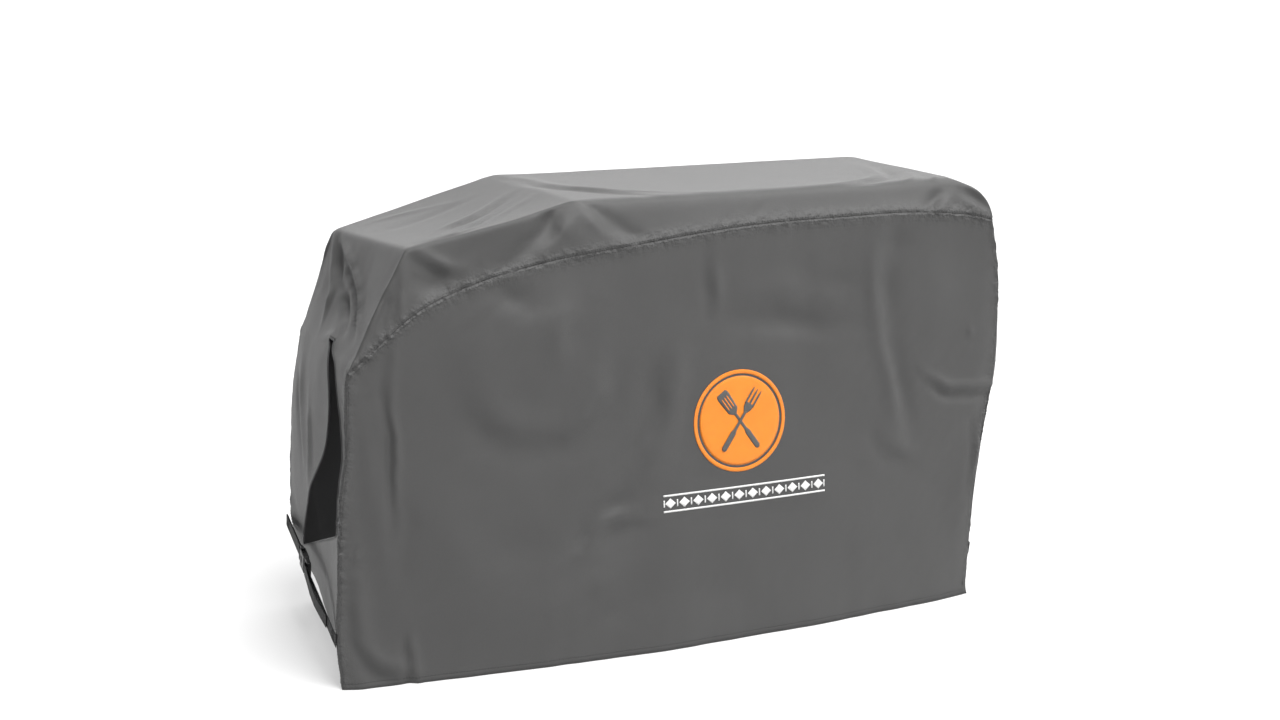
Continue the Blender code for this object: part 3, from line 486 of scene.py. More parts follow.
# slope between the shelf's edge and the hood
stroke(((-0.595, -0.235, 0.880), (-0.520, -0.225, 0.893), (-0.440, -0.200, 0.910), (-0.373, -0.150, 0.924), (-0.270, -0.055, 0.944)), 0.010, 0.0045, "bump", (0.3, 1.0, 1.0, 1.0, 0.2), slope)
stroke(((-0.585, -0.215, 0.882), (-0.510, -0.200, 0.895), (-0.430, -0.160, 0.912), (-0.350, -0.090, 0.929)), 0.013, -0.004, "bump", (0.1, 1.0, 1.0, 0.1), slope)
stroke(((-0.52, -0.15, 0.89), (-0.45, -0.095, 0.903), (-0.376, -0.049, 0.919), (-0.285, 0.020, 0.939)), 0.012, 0.004, "flank", (0.1, 1.0, 1.0, 0.2), slope)
stroke(((-0.57, 0.20, 0.862), (-0.45, 0.175, 0.895), (-0.36, 0.14, 0.918)), 0.016, 0.003, "bump", (0.1, 1.0, 0.2), slope)
stroke(((-0.56, 0.05, 0.868), (-0.46, 0.09, 0.89), (-0.33, 0.12, 0.925)), 0.020, -0.003, "bump", (0.1, 1.0, 0.2), slope)

# hood top
stroke(((-0.225, 0.20, 0.95), (-0.20, 0.03, 0.95), (-0.13, -0.10, 0.95), (-0.03, -0.225, 0.95)), 0.016, 0.0035, "flank", (0.2, 1.0, 1.0, 0.2), top)
stroke(((-0.16, -0.03, 0.95), (-0.08, -0.12, 0.95), (0.06, -0.215, 0.95)), 0.012, 0.003, "bump", (0.1, 1.0, 0.2), top)
stroke(((0.26, -0.235, 0.95), (0.44, -0.205, 0.95), (0.56, -0.09, 0.95), (0.62, 0.10, 0.95)), 0.016, 0.0035, "flank", (0.1, 1.0, 1.0, 0.1), top)
stroke(((0.47, -0.243, 0.95), (0.57, -0.20, 0.95), (0.63, -0.10, 0.95)), 0.010, 0.003, "bump", (0.1, 1.0, 0.2), top)
stroke(((0.56, -0.243, 0.95), (0.62, -0.215, 0.95), (0.65, -0.15, 0.95)), 0.009, 0.003, "bump", (0.1, 1.0, 0.2), top)

# left side, under the shelf's edge
stroke(((-0.610, 0.235, 0.842), (-0.640, 0.165, 0.780), (-0.662, 0.095, 0.730), (-0.690, 0.07, 0.650)), 0.012, 0.007, "bump", (0.3, 1.0, 1.0, 0.2), left_side)
stroke(((-0.614, 0.205, 0.838), (-0.643, 0.110, 0.774), (-0.668, -0.02, 0.735), (-0.690, -0.110, 0.690)), 0.013, -0.009, "bump", (0.2, 1.0, 1.0, 0.3), left_side)
stroke(((-0.615, 0.185, 0.832), (-0.633, 0.062, 0.800), (-0.656, -0.065, 0.765), (-0.690, -0.190, 0.705)), 0.009, 0.007, "flank", (0.2, 1.0, 1.0, 0.3), left_side)
stroke(((-0.700, 0.03, 0.66), (-0.708, -0.05, 0.672), (-0.705, -0.12, 0.66)), 0.010, 0.005, "bump", (0.1, 1.0, 0.2), left_side)
stroke(((-0.735, 0.20, 0.60), (-0.740, 0.13, 0.50), (-0.742, 0.08, 0.38)), 0.018, 0.005, "flank", (0.1, 1.0, 1.0, 0.1), left_side)
stroke(((-0.735, 0.05, 0.56), (-0.745, 0.0, 0.45), (-0.745, 0.03, 0.33)), 0.014, 0.005, "bump", (0.1, 1.0, 1.0, 0.1), left_side)

# the ridge from the shelf's corner down to the end of the arched seam, and the slack low on the side
ridge_ok = on_gus | left_side
stroke(((-0.606, -0.247, 0.876), (-0.640, -0.250, 0.810), (-0.685, -0.256, 0.730), (-0.728, -0.262, 0.655)), 0.008, 0.0050, "bump", (0.3, 1.0, 1.0, 0.3), ridge_ok)
blob((0.04, 0.060), 0.17, 0.060, 0.015, 0.0, left_side, axes=(1, 2))

# front panel
F_ = on_front
stroke(front_line((-0.655, 0.690), (-0.655, 0.626), (-0.653, 0.512), (-0.653, 0.433), (-0.658, 0.303)), 0.009, 0.0050, "flank", (0.2, 1.0, 0.9, 0.7, 0.2), F_)
stroke(front_line((-0.640, 0.40), (-0.640, 0.30), (-0.645, 0.20)), 0.026, -0.006, "bump", (0.1, 1.0, 0.2), F_)
stroke(front_line((-0.700, 0.62), (-0.705, 0.48), (-0.700, 0.34)), 0.030, 0.004, "bump", (0.2, 1.0, 0.2), F_)
blob((-0.395, 0.772), 0.040, 0.028, -0.008, -0.4, F_)
blob((-0.292, 0.722), 0.095, 0.040, 0.009, 0.28, F_)
blob((-0.300, 0.668), 0.028, 0.045, 0.006, 0.1, F_)
blob((-0.370, 0.640), 0.180, 0.130, 0.016, 0.0, F_)
stroke(front_line((-0.515, 0.60), (-0.471, 0.529), (-0.363, 0.474), (-0.259, 0.489), (-0.202, 0.566), (-0.185, 0.66)), 0.030, 0.0050, "flank", (0.1, 0.8, 1.0, 1.0, 0.8, 0.2), F_)
stroke(front_line((-0.735, 0.22), (-0.733, 0.10), (-0.700, 0.045), (-0.640, 0.012)), 0.015, 0.005, "flank", (0.2, 1.0, 1.0, 0.8), F_)
stroke(front_line((-0.628, 0.12), (-0.626, 0.06), (-0.625, 0.0)), 0.008, 0.004, "flank", (0.0, 1.0, 1.0), F_)
stroke(front_line((-0.766, 0.284), (-0.735, 0.279), (-0.700, 0.277)), 0.006, 0.0035, "bump", (0.6, 1.0, 0.0), F_)
stroke(front_line((-0.766, 0.236), (-0.745, 0.232), (-0.712, 0.231)), 0.006, 0.0035, "bump", (0.6, 1.0, 0.0), F_)
stroke(front_line((-0.764, 0.302), (-0.745, 0.274), (-0.726, 0.307)), 0.006, -0.003, "bump", (0.5, 1.0, 0.0), F_)
stroke(front_line((-0.762, 0.16), (-0.735, 0.18), (-0.71, 0.165)), 0.007, 0.002, "bump", (0.5, 1.0, 0.0), F_)
stroke(front_line((-0.30, 0.235), (-0.255, 0.262), (-0.22, 0.301), (-0.133, 0.325)), 0.018, -0.006, "flank", (0.1, 1.0, 1.0, 0.1), F_)
blob((-0.20, 0.262), 0.075, 0.030, -0.006, 0.25, F_)
stroke(front_line((-0.36, 0.10), (-0.24, 0.160), (-0.10, 0.230)), 0.030, 0.006, "bump", (0.0, 1.0, 0.0), F_)
stroke(front_line((-0.35, 0.03), (-0.20, 0.09), (-0.05, 0.17)), 0.030, -0.005, "bump", (0.0, 1.0, 0.0), F_)
stroke(front_line((-0.172, 0.287), (-0.123, 0.290), (-0.070, 0.300)), 0.008, 0.003, "bump", (0.0, 1.0, 0.0), F_)
stroke(front_line((-0.05, 0.66), (-0.07, 0.56), (-0.11, 0.45), (-0.18, 0.35)), 0.026, 0.007, "flank", (0.1, 1.0, 1.0, 0.1), F_)
stroke(front_line((0.045, 0.835), (0.046, 0.76), (0.040, 0.68)), 0.014, 0.0045, "flank", (0.3, 1.0, 0.0), F_)
blob((0.230, 0.672), 0.120, 0.028, -0.009, -0.12, F_)
blob((0.225, 0.735), 0.120, 0.035, 0.006, -0.10, F_)
blob((0.330, 0.742), 0.050, 0.022, -0.004, 0.2, F_)
stroke(front_line((0.470, 0.845), (0.457, 0.70), (0.480, 0.588), (0.503, 0.456), (0.52, 0.36)), 0.019, -0.0046, "flank", (0.4, 1.0, 1.0, 0.8, 0.1), F_)
blob((0.500, 0.815), 0.045, 0.030, -0.006, 0.3, F_)
blob((0.600, 0.66), 0.080, 0.110, 0.006, 0.1, F_)
stroke(front_line((0.560, 0.545), (0.600, 0.510), (0.650, 0.492), (0.755, 0.484)), 0.011, 0.0060, "bump", (0.3, 1.0, 1.0, 0.6), F_)
stroke(front_line((0.560, 0.52), (0.610, 0.480), (0.680, 0.462), (0.750, 0.455)), 0.012, -0.0050, "bump", (0.1, 1.0, 1.0, 0.6), F_)
stroke(front_line((0.684, 0.622), (0.692, 0.610), (0.702, 0.596)), 0.006, 0.003, "bump", (0.2, 1.0, 0.2), F_)
stroke(front_line((0.70, 0.40), (0.715, 0.33), (0.70, 0.25)), 0.009, 0.003, "flank", (0.2, 1.0, 0.2), F_)
stroke(front_line((0.44, 0.44), (0.47, 0.37), (0.55, 0.33)), 0.020, 0.004, "flank", (0.1, 1.0, 0.1), F_)
blob((0.455, 0.36), 0.050, 0.030, 0.004, 0.3, F_)
blob((0.40, 0.20), 0.120, 0.080, 0.004, 0.2, F_)
blob((0.05, 0.12), 0.160, 0.060, -0.005, 0.15, F_)
blob((-0.52, 0.30), 0.080, 0.120, 0.006, 0.1, F_)
blob((-0.40, 0.26), 0.060, 0.060, -0.006, 0.5, F_)

# the back and the right side have folds of the same kind
B_ = on_back


def back_line(*pts):
    return [tuple(float(c) for c in back_place(x, z)) for x, z in pts]


for i in range(15):
    x = -0.62 + 0.09 * i + 0.03 * math.sin(5.1 * i)
    z = 0.40 + 0.30 * math.sin(2.3 * i + 0.7)
    lean = 0.12 * math.sin(1.7 * i + 0.3)
    stroke(back_line((x - lean, z + 0.13), (x + 0.02 * math.sin(i), z), (x + lean, z - 0.13)), 0.018 + 0.008 * math.sin(3 * i), 0.006 * (1 if i % 2 else -1), "flank" if i % 3 else "bump", (0.0, 1.0, 0.0), B_)
for x0, z0, x1, z1 in ((-0.25, 0.94, -0.33, 0.83), (-0.23, 0.94, -0.14, 0.86), (0.65, 0.93, 0.59, 0.87), (-0.60, 0.86, -0.52, 0.80), (-0.60, 0.85, -0.615, 0.74)):
    stroke(((x0, 0.27, z0), ((x0 + x1) / 2, 0.268, (z0 + z1) / 2), (x1, 0.266, z1)), 0.013, 0.007, "flank", (0.3, 1.0, 0.3), on_gus_b)
right_side = on_strip & (P[:, 0] > 0.66) & (P[:, 2] < 0.90)
for y0, z0, y1, z1, h in ((0.22, 0.85, 0.10, 0.60, 0.006), (-0.02, 0.84, -0.09, 0.66, 0.007), (0.10, 0.84, 0.0, 0.62, -0.006), (0.22, 0.60, 0.12, 0.34, 0.006), (0.12, 0.58, 0.02, 0.42, -0.005), (-0.22, 0.80, -0.17, 0.66, 0.005)):
    xs = 0.765
    stroke(((0.74, y0, z0), (xs, (y0 + y1) / 2, (z0 + z1) / 2), (0.745, y1, z1)), 0.015, h, "flank" if h > 0 else "bump", (0.2, 1.0, 0.2), right_side)

# the strap pulls on the cloth where it is sewn on
PULL = np.zeros(NV)
for x0, y0, z0, reach in ((-0.727, 0.262, 0.200, 0.075), (0.716, 0.262, 0.200, 0.075)):
    d = np.sqrt((P[:, 0] - x0) ** 2 + (P[:, 1] - y0) ** 2 + ((P[:, 2] - z0) * 0.8) ** 2)
    PULL += np.sign(x0) * 0.009 * smooth01(1 - d / reach)

# wide, slow unevenness of hanging cloth, and fine creasing
wide, small = np.zeros(NV), np.zeros(NV)
for i, p in enumerate(P.tolist()):
    x, y, z = p
    wide[i] = noise.noise((x * 5.0 + 3.1, y * 7.0, z * 4.0)) + 0.5 * noise.noise((x * 11.0, y * 13.0 + 9.0, z * 8.0))
    a, b = x * 0.8 + z * 0.6, -x * 0.6 + z * 0.8
    small[i] = noise.noise((a * 16.0, y * 22.0 + 4.0, b * 46.0)) * (0.5 + noise.noise((x * 6.0 + 8.0, y * 6.0, z * 6.0)))
flatness = np.where(top | slope, 0.25, 1.0)
flatness = diffuse(flatness, 8, np.full(NV, 0.8))
edge_hold = np.where(is_open, 0.0, 1.0)
edge_hold = diffuse(edge_hold, 3, np.full(NV, 0.5))
DISP += (0.0030 * wide + 0.0011 * small) * flatness

# ------------------------------------------------------------------ seams draw the cloth in and pucker it
front_path = np.concatenate((STRIP[:K0, 0], FRONT_SEAM, STRIP[K1 + 1:, 0]))
back_path = np.concatenate((STRIP[:K0, NJ - 1], BACK_SEAM, STRIP[K1 + 1:, NJ - 1]))


NEAR_SEAM = np.zeros(NV)


def pucker(path, area, seed):
    global NRM_IN_USE, DISP
    path = path[::3]
    length = float(np.linalg.norm(np.diff(path, axis=0), axis=1).sum())
    pick = area.copy()
    NRM_IN_USE = NRM[pick]
    d, run, side = nearest(P[pick], path)
    s = run * length
    wave = np.array([noise.noise((t * 48.0, seed, 0.0)) + 0.5 * noise.noise((t * 95.0, seed, 5.0)) for t in s.tolist()])
    strong = np.array([0.55 + 0.8 * noise.noise((t * 5.0, seed + 3.0, 1.0)) for t in s.tolist()])
    DISP[pick] += 0.0062 * np.clip(strong, 0.25, 1.1) * wave * np.exp(-d / 0.014)
    DISP[pick] -= 0.0026 * np.exp(-(d / 0.0055) ** 2)
    NEAR_SEAM[pick] = np.maximum(NEAR_SEAM[pick], np.exp(-(d / 0.013) ** 1.5) * np.clip(0.55 + strong * 0.7, 0.3, 1.0))


pucker(front_path, on_front | on_gus | left_side, 1.0)
pucker(back_path, on_back | on_gus_b | left_side, 2.0)

BADGE_X, BADGE_Z, BADGE_R = 0.104, 0.472, 0.109
BAND_X0, BAND_X1, BAND_Z, BAND_H = -0.080, 0.308, 0.314, 0.038
stiff = np.zeros(NV)
r = np.hypot(P[:, 0] - BADGE_X, P[:, 2] - BADGE_Z) / BADGE_R
stiff = np.maximum(stiff, smooth01((1.35 - r) / 0.4))
u = np.maximum(np.abs(P[:, 0] - (BAND_X0 + BAND_X1) / 2) / ((BAND_X1 - BAND_X0) / 2 + 0.012), np.abs(P[:, 2] - BAND_Z) / (BAND_H / 2 + 0.012))
stiff = np.maximum(stiff, smooth01((1.3 - u) / 0.35))
DISP = np.where(on_front, DISP * (1 - 0.8 * stiff), DISP)
P2 = P + NRM * (DISP * np.where(is_hem, 0.85, 1.0))[:, None]
# the hem waves in and out but stays level
hem_wave = np.array([noise.noise((x * 9.0, y * 9.0, 3.3)) + 0.5 * noise.noise((x * 21.0, y * 21.0, 7.3)) for x, y, z in P.tolist()])
low = np.exp(-P[:, 2] / 0.10)
horizontal = NRM * np.array((1.0, 1.0, 0.0))
P2 += horizontal * (0.0045 * hem_wave * low)[:, None]
P2[:, 0] += PULL
P2[is_hem, 2] = 0.0
P2[:, 2] = np.maximum(P2[:, 2], 0.0)
P = P2
NRM = vertex_normals(P)


# ------------------------------------------------------------------ the panels settle under their own weight
def blur(a, cells):
    half = int(3 * cells)
    k = np.exp(-0.5 * (np.arange(-half, half + 1) / cells) ** 2)
    k /= k.sum()
    for axis in (0, 1):
        pad = [(0, 0)] * a.ndim
        pad[axis] = (half, half)
        b = np.pad(a, pad, mode="edge")
        out = np.zeros_like(a)
        for i, w in enumerate(k):
            sl = [slice(None)] * a.ndim
            sl[axis] = slice(i, i + a.shape[axis])
            out += w * b[tuple(sl)]
        a = out
    return a


def settle(name, start, pin, grow, frames):
    """Hangs a panel as cloth, a little fuller than its frame, and gives where it comes to hang."""
    m, n = start.shape[:2]
    idx = np.arange(m * n).reshape(m, n)
    q = np.stack((idx[:-1, :-1], idx[:-1, 1:], idx[1:, 1:], idx[1:, :-1]), -1).reshape(-1, 4)
    mesh = bpy.data.meshes.new(name)
    mesh.from_pydata(start.reshape(-1, 3).tolist(), [], q.tolist())
    ob = bpy.data.objects.new(name, mesh)
    scene.collection.objects.link(ob)
    group = ob.vertex_groups.new(name="pin")
    w = pin.reshape(-1)
    for i in np.nonzero(w > 0)[0].tolist():
        group.add([i], float(w[i]), "REPLACE")
    mod = ob.modifiers.new("cloth", "CLOTH")
    st = mod.settings
    st.quality = 5
    st.mass = 0.25
    st.tension_stiffness = 30.0
    st.compression_stiffness = 30.0
    st.shear_stiffness = 18.0
    st.bending_stiffness = 10.0
    st.air_damping = 1.0
    st.vertex_group_mass = "pin"
    st.shrink_min = -grow
    mod.collision_settings.use_collision = False
    mod.point_cache.frame_start, mod.point_cache.frame_end = 1, frames
    for f in range(1, frames + 1):
        scene.frame_set(f)
    co = np.empty(m * n * 3)
    ob.evaluated_get(bpy.context.evaluated_depsgraph_get()).data.vertices.foreach_get("co", co)
    bpy.data.objects.remove(ob)
    bpy.data.meshes.remove(mesh)
    return co.reshape(m, n, 3)


def hang_panel(name, most, share):
    global P
    g = grids[name]
    m, n = g.shape[:2]
    idx = weld[base[name] + np.arange(m * n)].reshape(m, n)
    here = P[idx]
    ri = np.unique(np.concatenate((np.arange(0, m, 2), [m - 1])))
    ci = np.unique(np.concatenate((np.arange(0, n, 2), [n - 1])))
    start = here[np.ix_(ri, ci)]
    pin = np.zeros(start.shape[:2])
    pin[-1], pin[:, 0], pin[:, -1] = 1.0, 1.0, 1.0
    moved = settle(name + "_hanging", start, pin, 0.0025, 18) - start
    moved = moved - blur(moved, 13)                     # the wide hang is in the frame already
    moved = blur(moved, 0.8)
    away = np.minimum(np.arange(len(ci)), np.arange(len(ci))[::-1])[None, :]
    moved = moved * smooth01(away / 8.0)[..., None] * smooth01((len(ri) - 1 - np.arange(len(ri))) / 5.0)[:, None, None]
    moved[..., 2] *= 0.0
    moved = most * np.tanh(moved * share / most)
    up = hermite(ri, moved.reshape(len(ri), -1), np.arange(m)).reshape(m, len(ci), 3)
    up = hermite(ci, up.transpose(1, 0, 2).reshape(len(ci), -1), np.arange(n)).reshape(n, m, 3).transpose(1, 0, 2)
    hold = (1 - 0.8 * stiff[idx])[..., None] if name == "front" else 1.0
    P[idx] = here + up * hold


scene.gravity = (0, 0, -9.81)
hang_panel("front", 0.009, 0.30)
hang_panel("back", 0.009, 0.30)
scene.frame_set(1)
NRM = vertex_normals(P)


# ------------------------------------------------------------------ pieces of cloth
def mesh_from(name, quad_list, uv, mats, solid=CLOTH):
    q = np.concatenate(quad_list)
    used, inv = np.unique(q, return_inverse=True)
    q = inv.reshape(-1, 4)
    mesh = bpy.data.meshes.new(name)
    faces = []
    for f in q.tolist():
        g = []
        for v in f:
            if v not in g:
                g.append(v)
        if len(g) > 2:
            faces.append(g)
    mesh.from_pydata(P[used].tolist(), [], faces)
    mesh.update()
    layer = mesh.uv_layers.new(name="weave")
    loops = np.empty(len(mesh.loops), np.int32)
    mesh.loops.foreach_get("vertex_index", loops)
    layer.data.foreach_set("uv", uv[used][loops].astype(np.float32).ravel())
    mesh.polygons.foreach_set("use_smooth", np.ones(len(mesh.polygons), bool))
    near = mesh.attributes.new("seam", "FLOAT", "POINT")
    near.data.foreach_set("value", NEAR_SEAM[used].astype(np.float32))
    ob = bpy.data.objects.new(name, mesh)
    scene.collection.objects.link(ob)
    for m in mats:
        mesh.materials.append(m)
    if solid:
        s = ob.modifiers.new("thickness", "SOLIDIFY")
        s.thickness = solid
        s.offset = -1.0
        s.material_offset = 1
        s.material_offset_rim = 0
        s.use_even_offset = False
    return ob


# weave coordinates, in metres of cloth
uv_front = np.stack((P[:, 0], P[:, 2]), -1)
uv_strip = np.zeros((NV, 2))
step_k = np.concatenate(([0.0], np.cumsum(np.linalg.norm(np.diff(STRIP[:, NJ * 3 // 4], axis=0), axis=1))))
step_j = np.linspace(0, 0.53, NJ)
idx = weld[base["strip"] + np.arange(NK * NJ)].reshape(NK, NJ)
uv_strip[idx, 0] = step_j[None, :]
uv_strip[idx, 1] = step_k[:, None]
for name, col, sign in (("gus_f", 0, -1.0), ("gus_b", NJ - 1, 1.0)):
    g = grids[name]
    gi = weld[base[name] + np.arange(g.shape[0] * g.shape[1])].reshape(g.shape[:2])
    width = np.linalg.norm(g[:, 0] - g[:, -1], axis=1)[:, None]
    far = (1 - np.linspace(0, 1, g.shape[1]))[None, :] * width
    uv_strip[gi[:, :-1], 0] = (step_j[col] + sign * far)[:, :-1]
    uv_strip[gi[:, :-1], 1] = step_k[K0:K1 + 1][:, None]


# ------------------------------------------------------------------ materials
def nodes_of(name):
    m = bpy.data.materials.new(name)
    m.use_nodes = True
    nt = m.node_tree
    return m, nt, nt.nodes["Principled BSDF"]


def weave_height(nt, pitch, uv_name="weave", coords=None):
    """Plain weave: threads over and under each other."""
    if coords is None:
        coords = nt.nodes.new("ShaderNodeUVMap")
        coords.uv_map = uv_name
        out = coords.outputs["UV"]
    else:
        out = coords
    sep = nt.nodes.new("ShaderNodeSeparateXYZ")
    nt.links.new(out, sep.inputs[0])

    def math_node(op, a, b=None):
        n = nt.nodes.new("ShaderNodeMath")
        n.operation = op
        for k, v in enumerate((a, b)):
            if v is None:
                continue
            if isinstance(v, (int, float)):
                n.inputs[k].default_value = v
            else:
                nt.links.new(v, n.inputs[k])
        return n.outputs[0]

    su = math_node("SINE", math_node("MULTIPLY", sep.outputs[0], math.pi / pitch))
    sv = math_node("SINE", math_node("MULTIPLY", sep.outputs[1], math.pi / pitch))
    over = math_node("GREATER_THAN", math_node("MULTIPLY", su, sv), 0.0)
    hu, hv = math_node("ABSOLUTE", su), math_node("ABSOLUTE", sv)
    mix = nt.nodes.new("ShaderNodeMix")
    mix.data_type = "FLOAT"
    nt.links.new(over, mix.inputs[0])
    nt.links.new(hu, mix.inputs[2])
    nt.links.new(hv, mix.inputs[3])
    return mix.outputs[0]


def cloth_material(name, colour, rough=0.52, sheen=0.06, weave=0.00065, spec=0.36, spread=0.10):
    m, nt, b = nodes_of(name)
    b.inputs["Roughness"].default_value = rough
    b.inputs["Specular IOR Level"].default_value = spec
    b.inputs["Sheen Weight"].default_value = sheen
    b.inputs["Sheen Roughness"].default_value = 0.45
    geo = nt.nodes.new("ShaderNodeTexCoord")
    n1 = nt.nodes.new("ShaderNodeTexNoise")
    n1.inputs["Scale"].default_value = 5.0
    n1.inputs["Detail"].default_value = 4.0
    nt.links.new(geo.outputs["Object"], n1.inputs["Vector"])
    n2 = nt.nodes.new("ShaderNodeTexNoise")
    n2.inputs["Scale"].default_value = 420.0
    n2.inputs["Detail"].default_value = 2.0
    nt.links.new(geo.outputs["Object"], n2.inputs["Vector"])
    add = nt.nodes.new("ShaderNodeMath")
    add.operation = "MULTIPLY_ADD"
    nt.links.new(n2.outputs["Fac"], add.inputs[0])
    add.inputs[1].default_value = 0.5
    half = nt.nodes.new("ShaderNodeMath")
    half.operation = "MULTIPLY"
    nt.links.new(n1.outputs["Fac"], half.inputs[0])
    half.inputs[1].default_value = 0.5
    nt.links.new(half.outputs[0], add.inputs[2])
    ramp = nt.nodes.new("ShaderNodeValToRGB")
    e = ramp.color_ramp.elements
    e[0].position, e[1].position = 0.25, 0.75
    lo, hi = 1 - spread, 1 + spread
    e[0].color = (*[c * lo for c in colour], 1)
    e[1].color = (*[c * hi for c in colour], 1)
    nt.links.new(add.outputs[0], ramp.inputs["Fac"])
    nt.links.new(ramp.outputs["Color"], b.inputs["Base Color"])
    h = weave_height(nt, weave)
    bump = nt.nodes.new("ShaderNodeBump")
    bump.inputs["Strength"].default_value = 0.55
    bump.inputs["Distance"].default_value = 0.00016
    nt.links.new(h, bump.inputs["Height"])
    soft = nt.nodes.new("ShaderNodeTexNoise")
    soft.inputs["Scale"].default_value = 38.0
    soft.inputs["Detail"].default_value = 3.0
    nt.links.new(geo.outputs["Object"], soft.inputs["Vector"])
    bump2 = nt.nodes.new("ShaderNodeBump")
    bump2.inputs["Strength"].default_value = 0.35
    bump2.inputs["Distance"].default_value = 0.0012
    nt.links.new(soft.outputs["Fac"], bump2.inputs["Height"])
    nt.links.new(bump.outputs["Normal"], bump2.inputs["Normal"])
    near = nt.nodes.new("ShaderNodeAttribute")
    near.attribute_name = "seam"
    pull = nt.nodes.new("ShaderNodeTexNoise")
    pull.inputs["Scale"].default_value = 75.0
    pull.inputs["Detail"].default_value = 2.0
    nt.links.new(geo.outputs["Object"], pull.inputs["Vector"])
    gather = nt.nodes.new("ShaderNodeMath")
    gather.operation = "MULTIPLY"
    nt.links.new(pull.outputs["Fac"], gather.inputs[0])
    nt.links.new(near.outputs["Fac"], gather.inputs[1])
    bump3 = nt.nodes.new("ShaderNodeBump")
    bump3.inputs["Strength"].default_value = 1.0
    bump3.inputs["Distance"].default_value = 0.011
    nt.links.new(gather.outputs[0], bump3.inputs["Height"])
    nt.links.new(bump2.outputs["Normal"], bump3.inputs["Normal"])
    nt.links.new(bump3.outputs["Normal"], b.inputs["Normal"])
    return m


GREY = (0.057, 0.0565, 0.0560)
cloth_out = cloth_material("cloth_outside", GREY)
cloth_in = cloth_material("cloth_inside", (0.080, 0.080, 0.082), rough=0.5, sheen=0.05, spec=0.35)

front_ob = mesh_from("cloth_front", [Q["front"]], uv_front, [cloth_out, cloth_in])
back_ob = mesh_from("cloth_back", [Q["back"]], uv_front, [cloth_out, cloth_in])
strip_ob = mesh_from("cloth_strip", [Q["strip"], Q["gus_f"], Q["gus_b"]], uv_strip, [cloth_out, cloth_in])
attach(front_ob, "cover")
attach(back_ob, "cover")
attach(strip_ob, "cover")
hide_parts("front_panel")
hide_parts("back_panel")
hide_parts("left_side_panel", "top_panel", "right_side_panel")


def area_of(quad_list):
    q = np.concatenate(quad_list)
    return float(np.linalg.norm(np.cross(P[q[:, 2]] - P[q[:, 0]], P[q[:, 3]] - P[q[:, 1]]), axis=1).sum() / 2)


print("areas", area_of([Q["front"]]), area_of([Q["back"]]), area_of([Q["strip"], Q["gus_f"], Q["gus_b"]]), "strip length", step_k[-1])

# ------------------------------------------------------------------ a bag collects the faces of one piece

class Bag:
    def __init__(self):
        self.v, self.f, self.uv, self.n = [], [], [], 0

    def add(self, verts, faces, uv):
        self.v.append(np.asarray(verts, float))
        self.uv.append(np.asarray(uv, float))
        self.f += [[i + self.n for i in f] for f in faces]
        self.n += len(verts)

    def piece(self, name, mat, body="cover", smooth=True):
        mesh = bpy.data.meshes.new(name)
        mesh.from_pydata(np.concatenate(self.v).tolist(), [], self.f)
        mesh.update()
        uv = np.concatenate(self.uv)
        layer = mesh.uv_layers.new(name="weave")
        loops = np.empty(len(mesh.loops), np.int32)
        mesh.loops.foreach_get("vertex_index", loops)
        layer.data.foreach_set("uv", uv[loops].astype(np.float32).ravel())
        mesh.polygons.foreach_set("use_smooth", np.full(len(mesh.polygons), smooth))
        mesh.materials.append(mat)
        bm = bmesh.new()
        bm.from_mesh(mesh)
        bmesh.ops.recalc_face_normals(bm, faces=bm.faces)
        bm.to_mesh(mesh)
        bm.free()
        ob = bpy.data.objects.new(name, mesh)
        scene.collection.objects.link(ob)
        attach(ob, body)
        return ob


def unit_rows(a):
    return a / np.maximum(np.linalg.norm(a, axis=-1, keepdims=True), 1e-12)


def tangents(path, cyclic=False):
    path = np.asarray(path, float)
    if cyclic:
        return unit_rows(np.roll(path, -1, 0) - np.roll(path, 1, 0))
    t = np.empty_like(path)
    t[1:-1] = path[2:] - path[:-2]
    t[0], t[-1] = path[1] - path[0], path[-1] - path[-2]
    return unit_rows(t)


def resample(path, step, cyclic=False):
    path = np.asarray(path, float)
    if cyclic:
        path = np.concatenate((path, path[:1]))
    seg = np.linalg.norm(np.diff(path, axis=0), axis=1)
    cum = np.concatenate(([0.0], np.cumsum(seg)))
    n = max(2, int(round(cum[-1] / step)))
    at = np.linspace(0, cum[-1], n + 1)
    if cyclic:
        at = at[:-1]
    return np.stack([np.interp(at, cum, path[:, c]) for c in range(3)], -1)


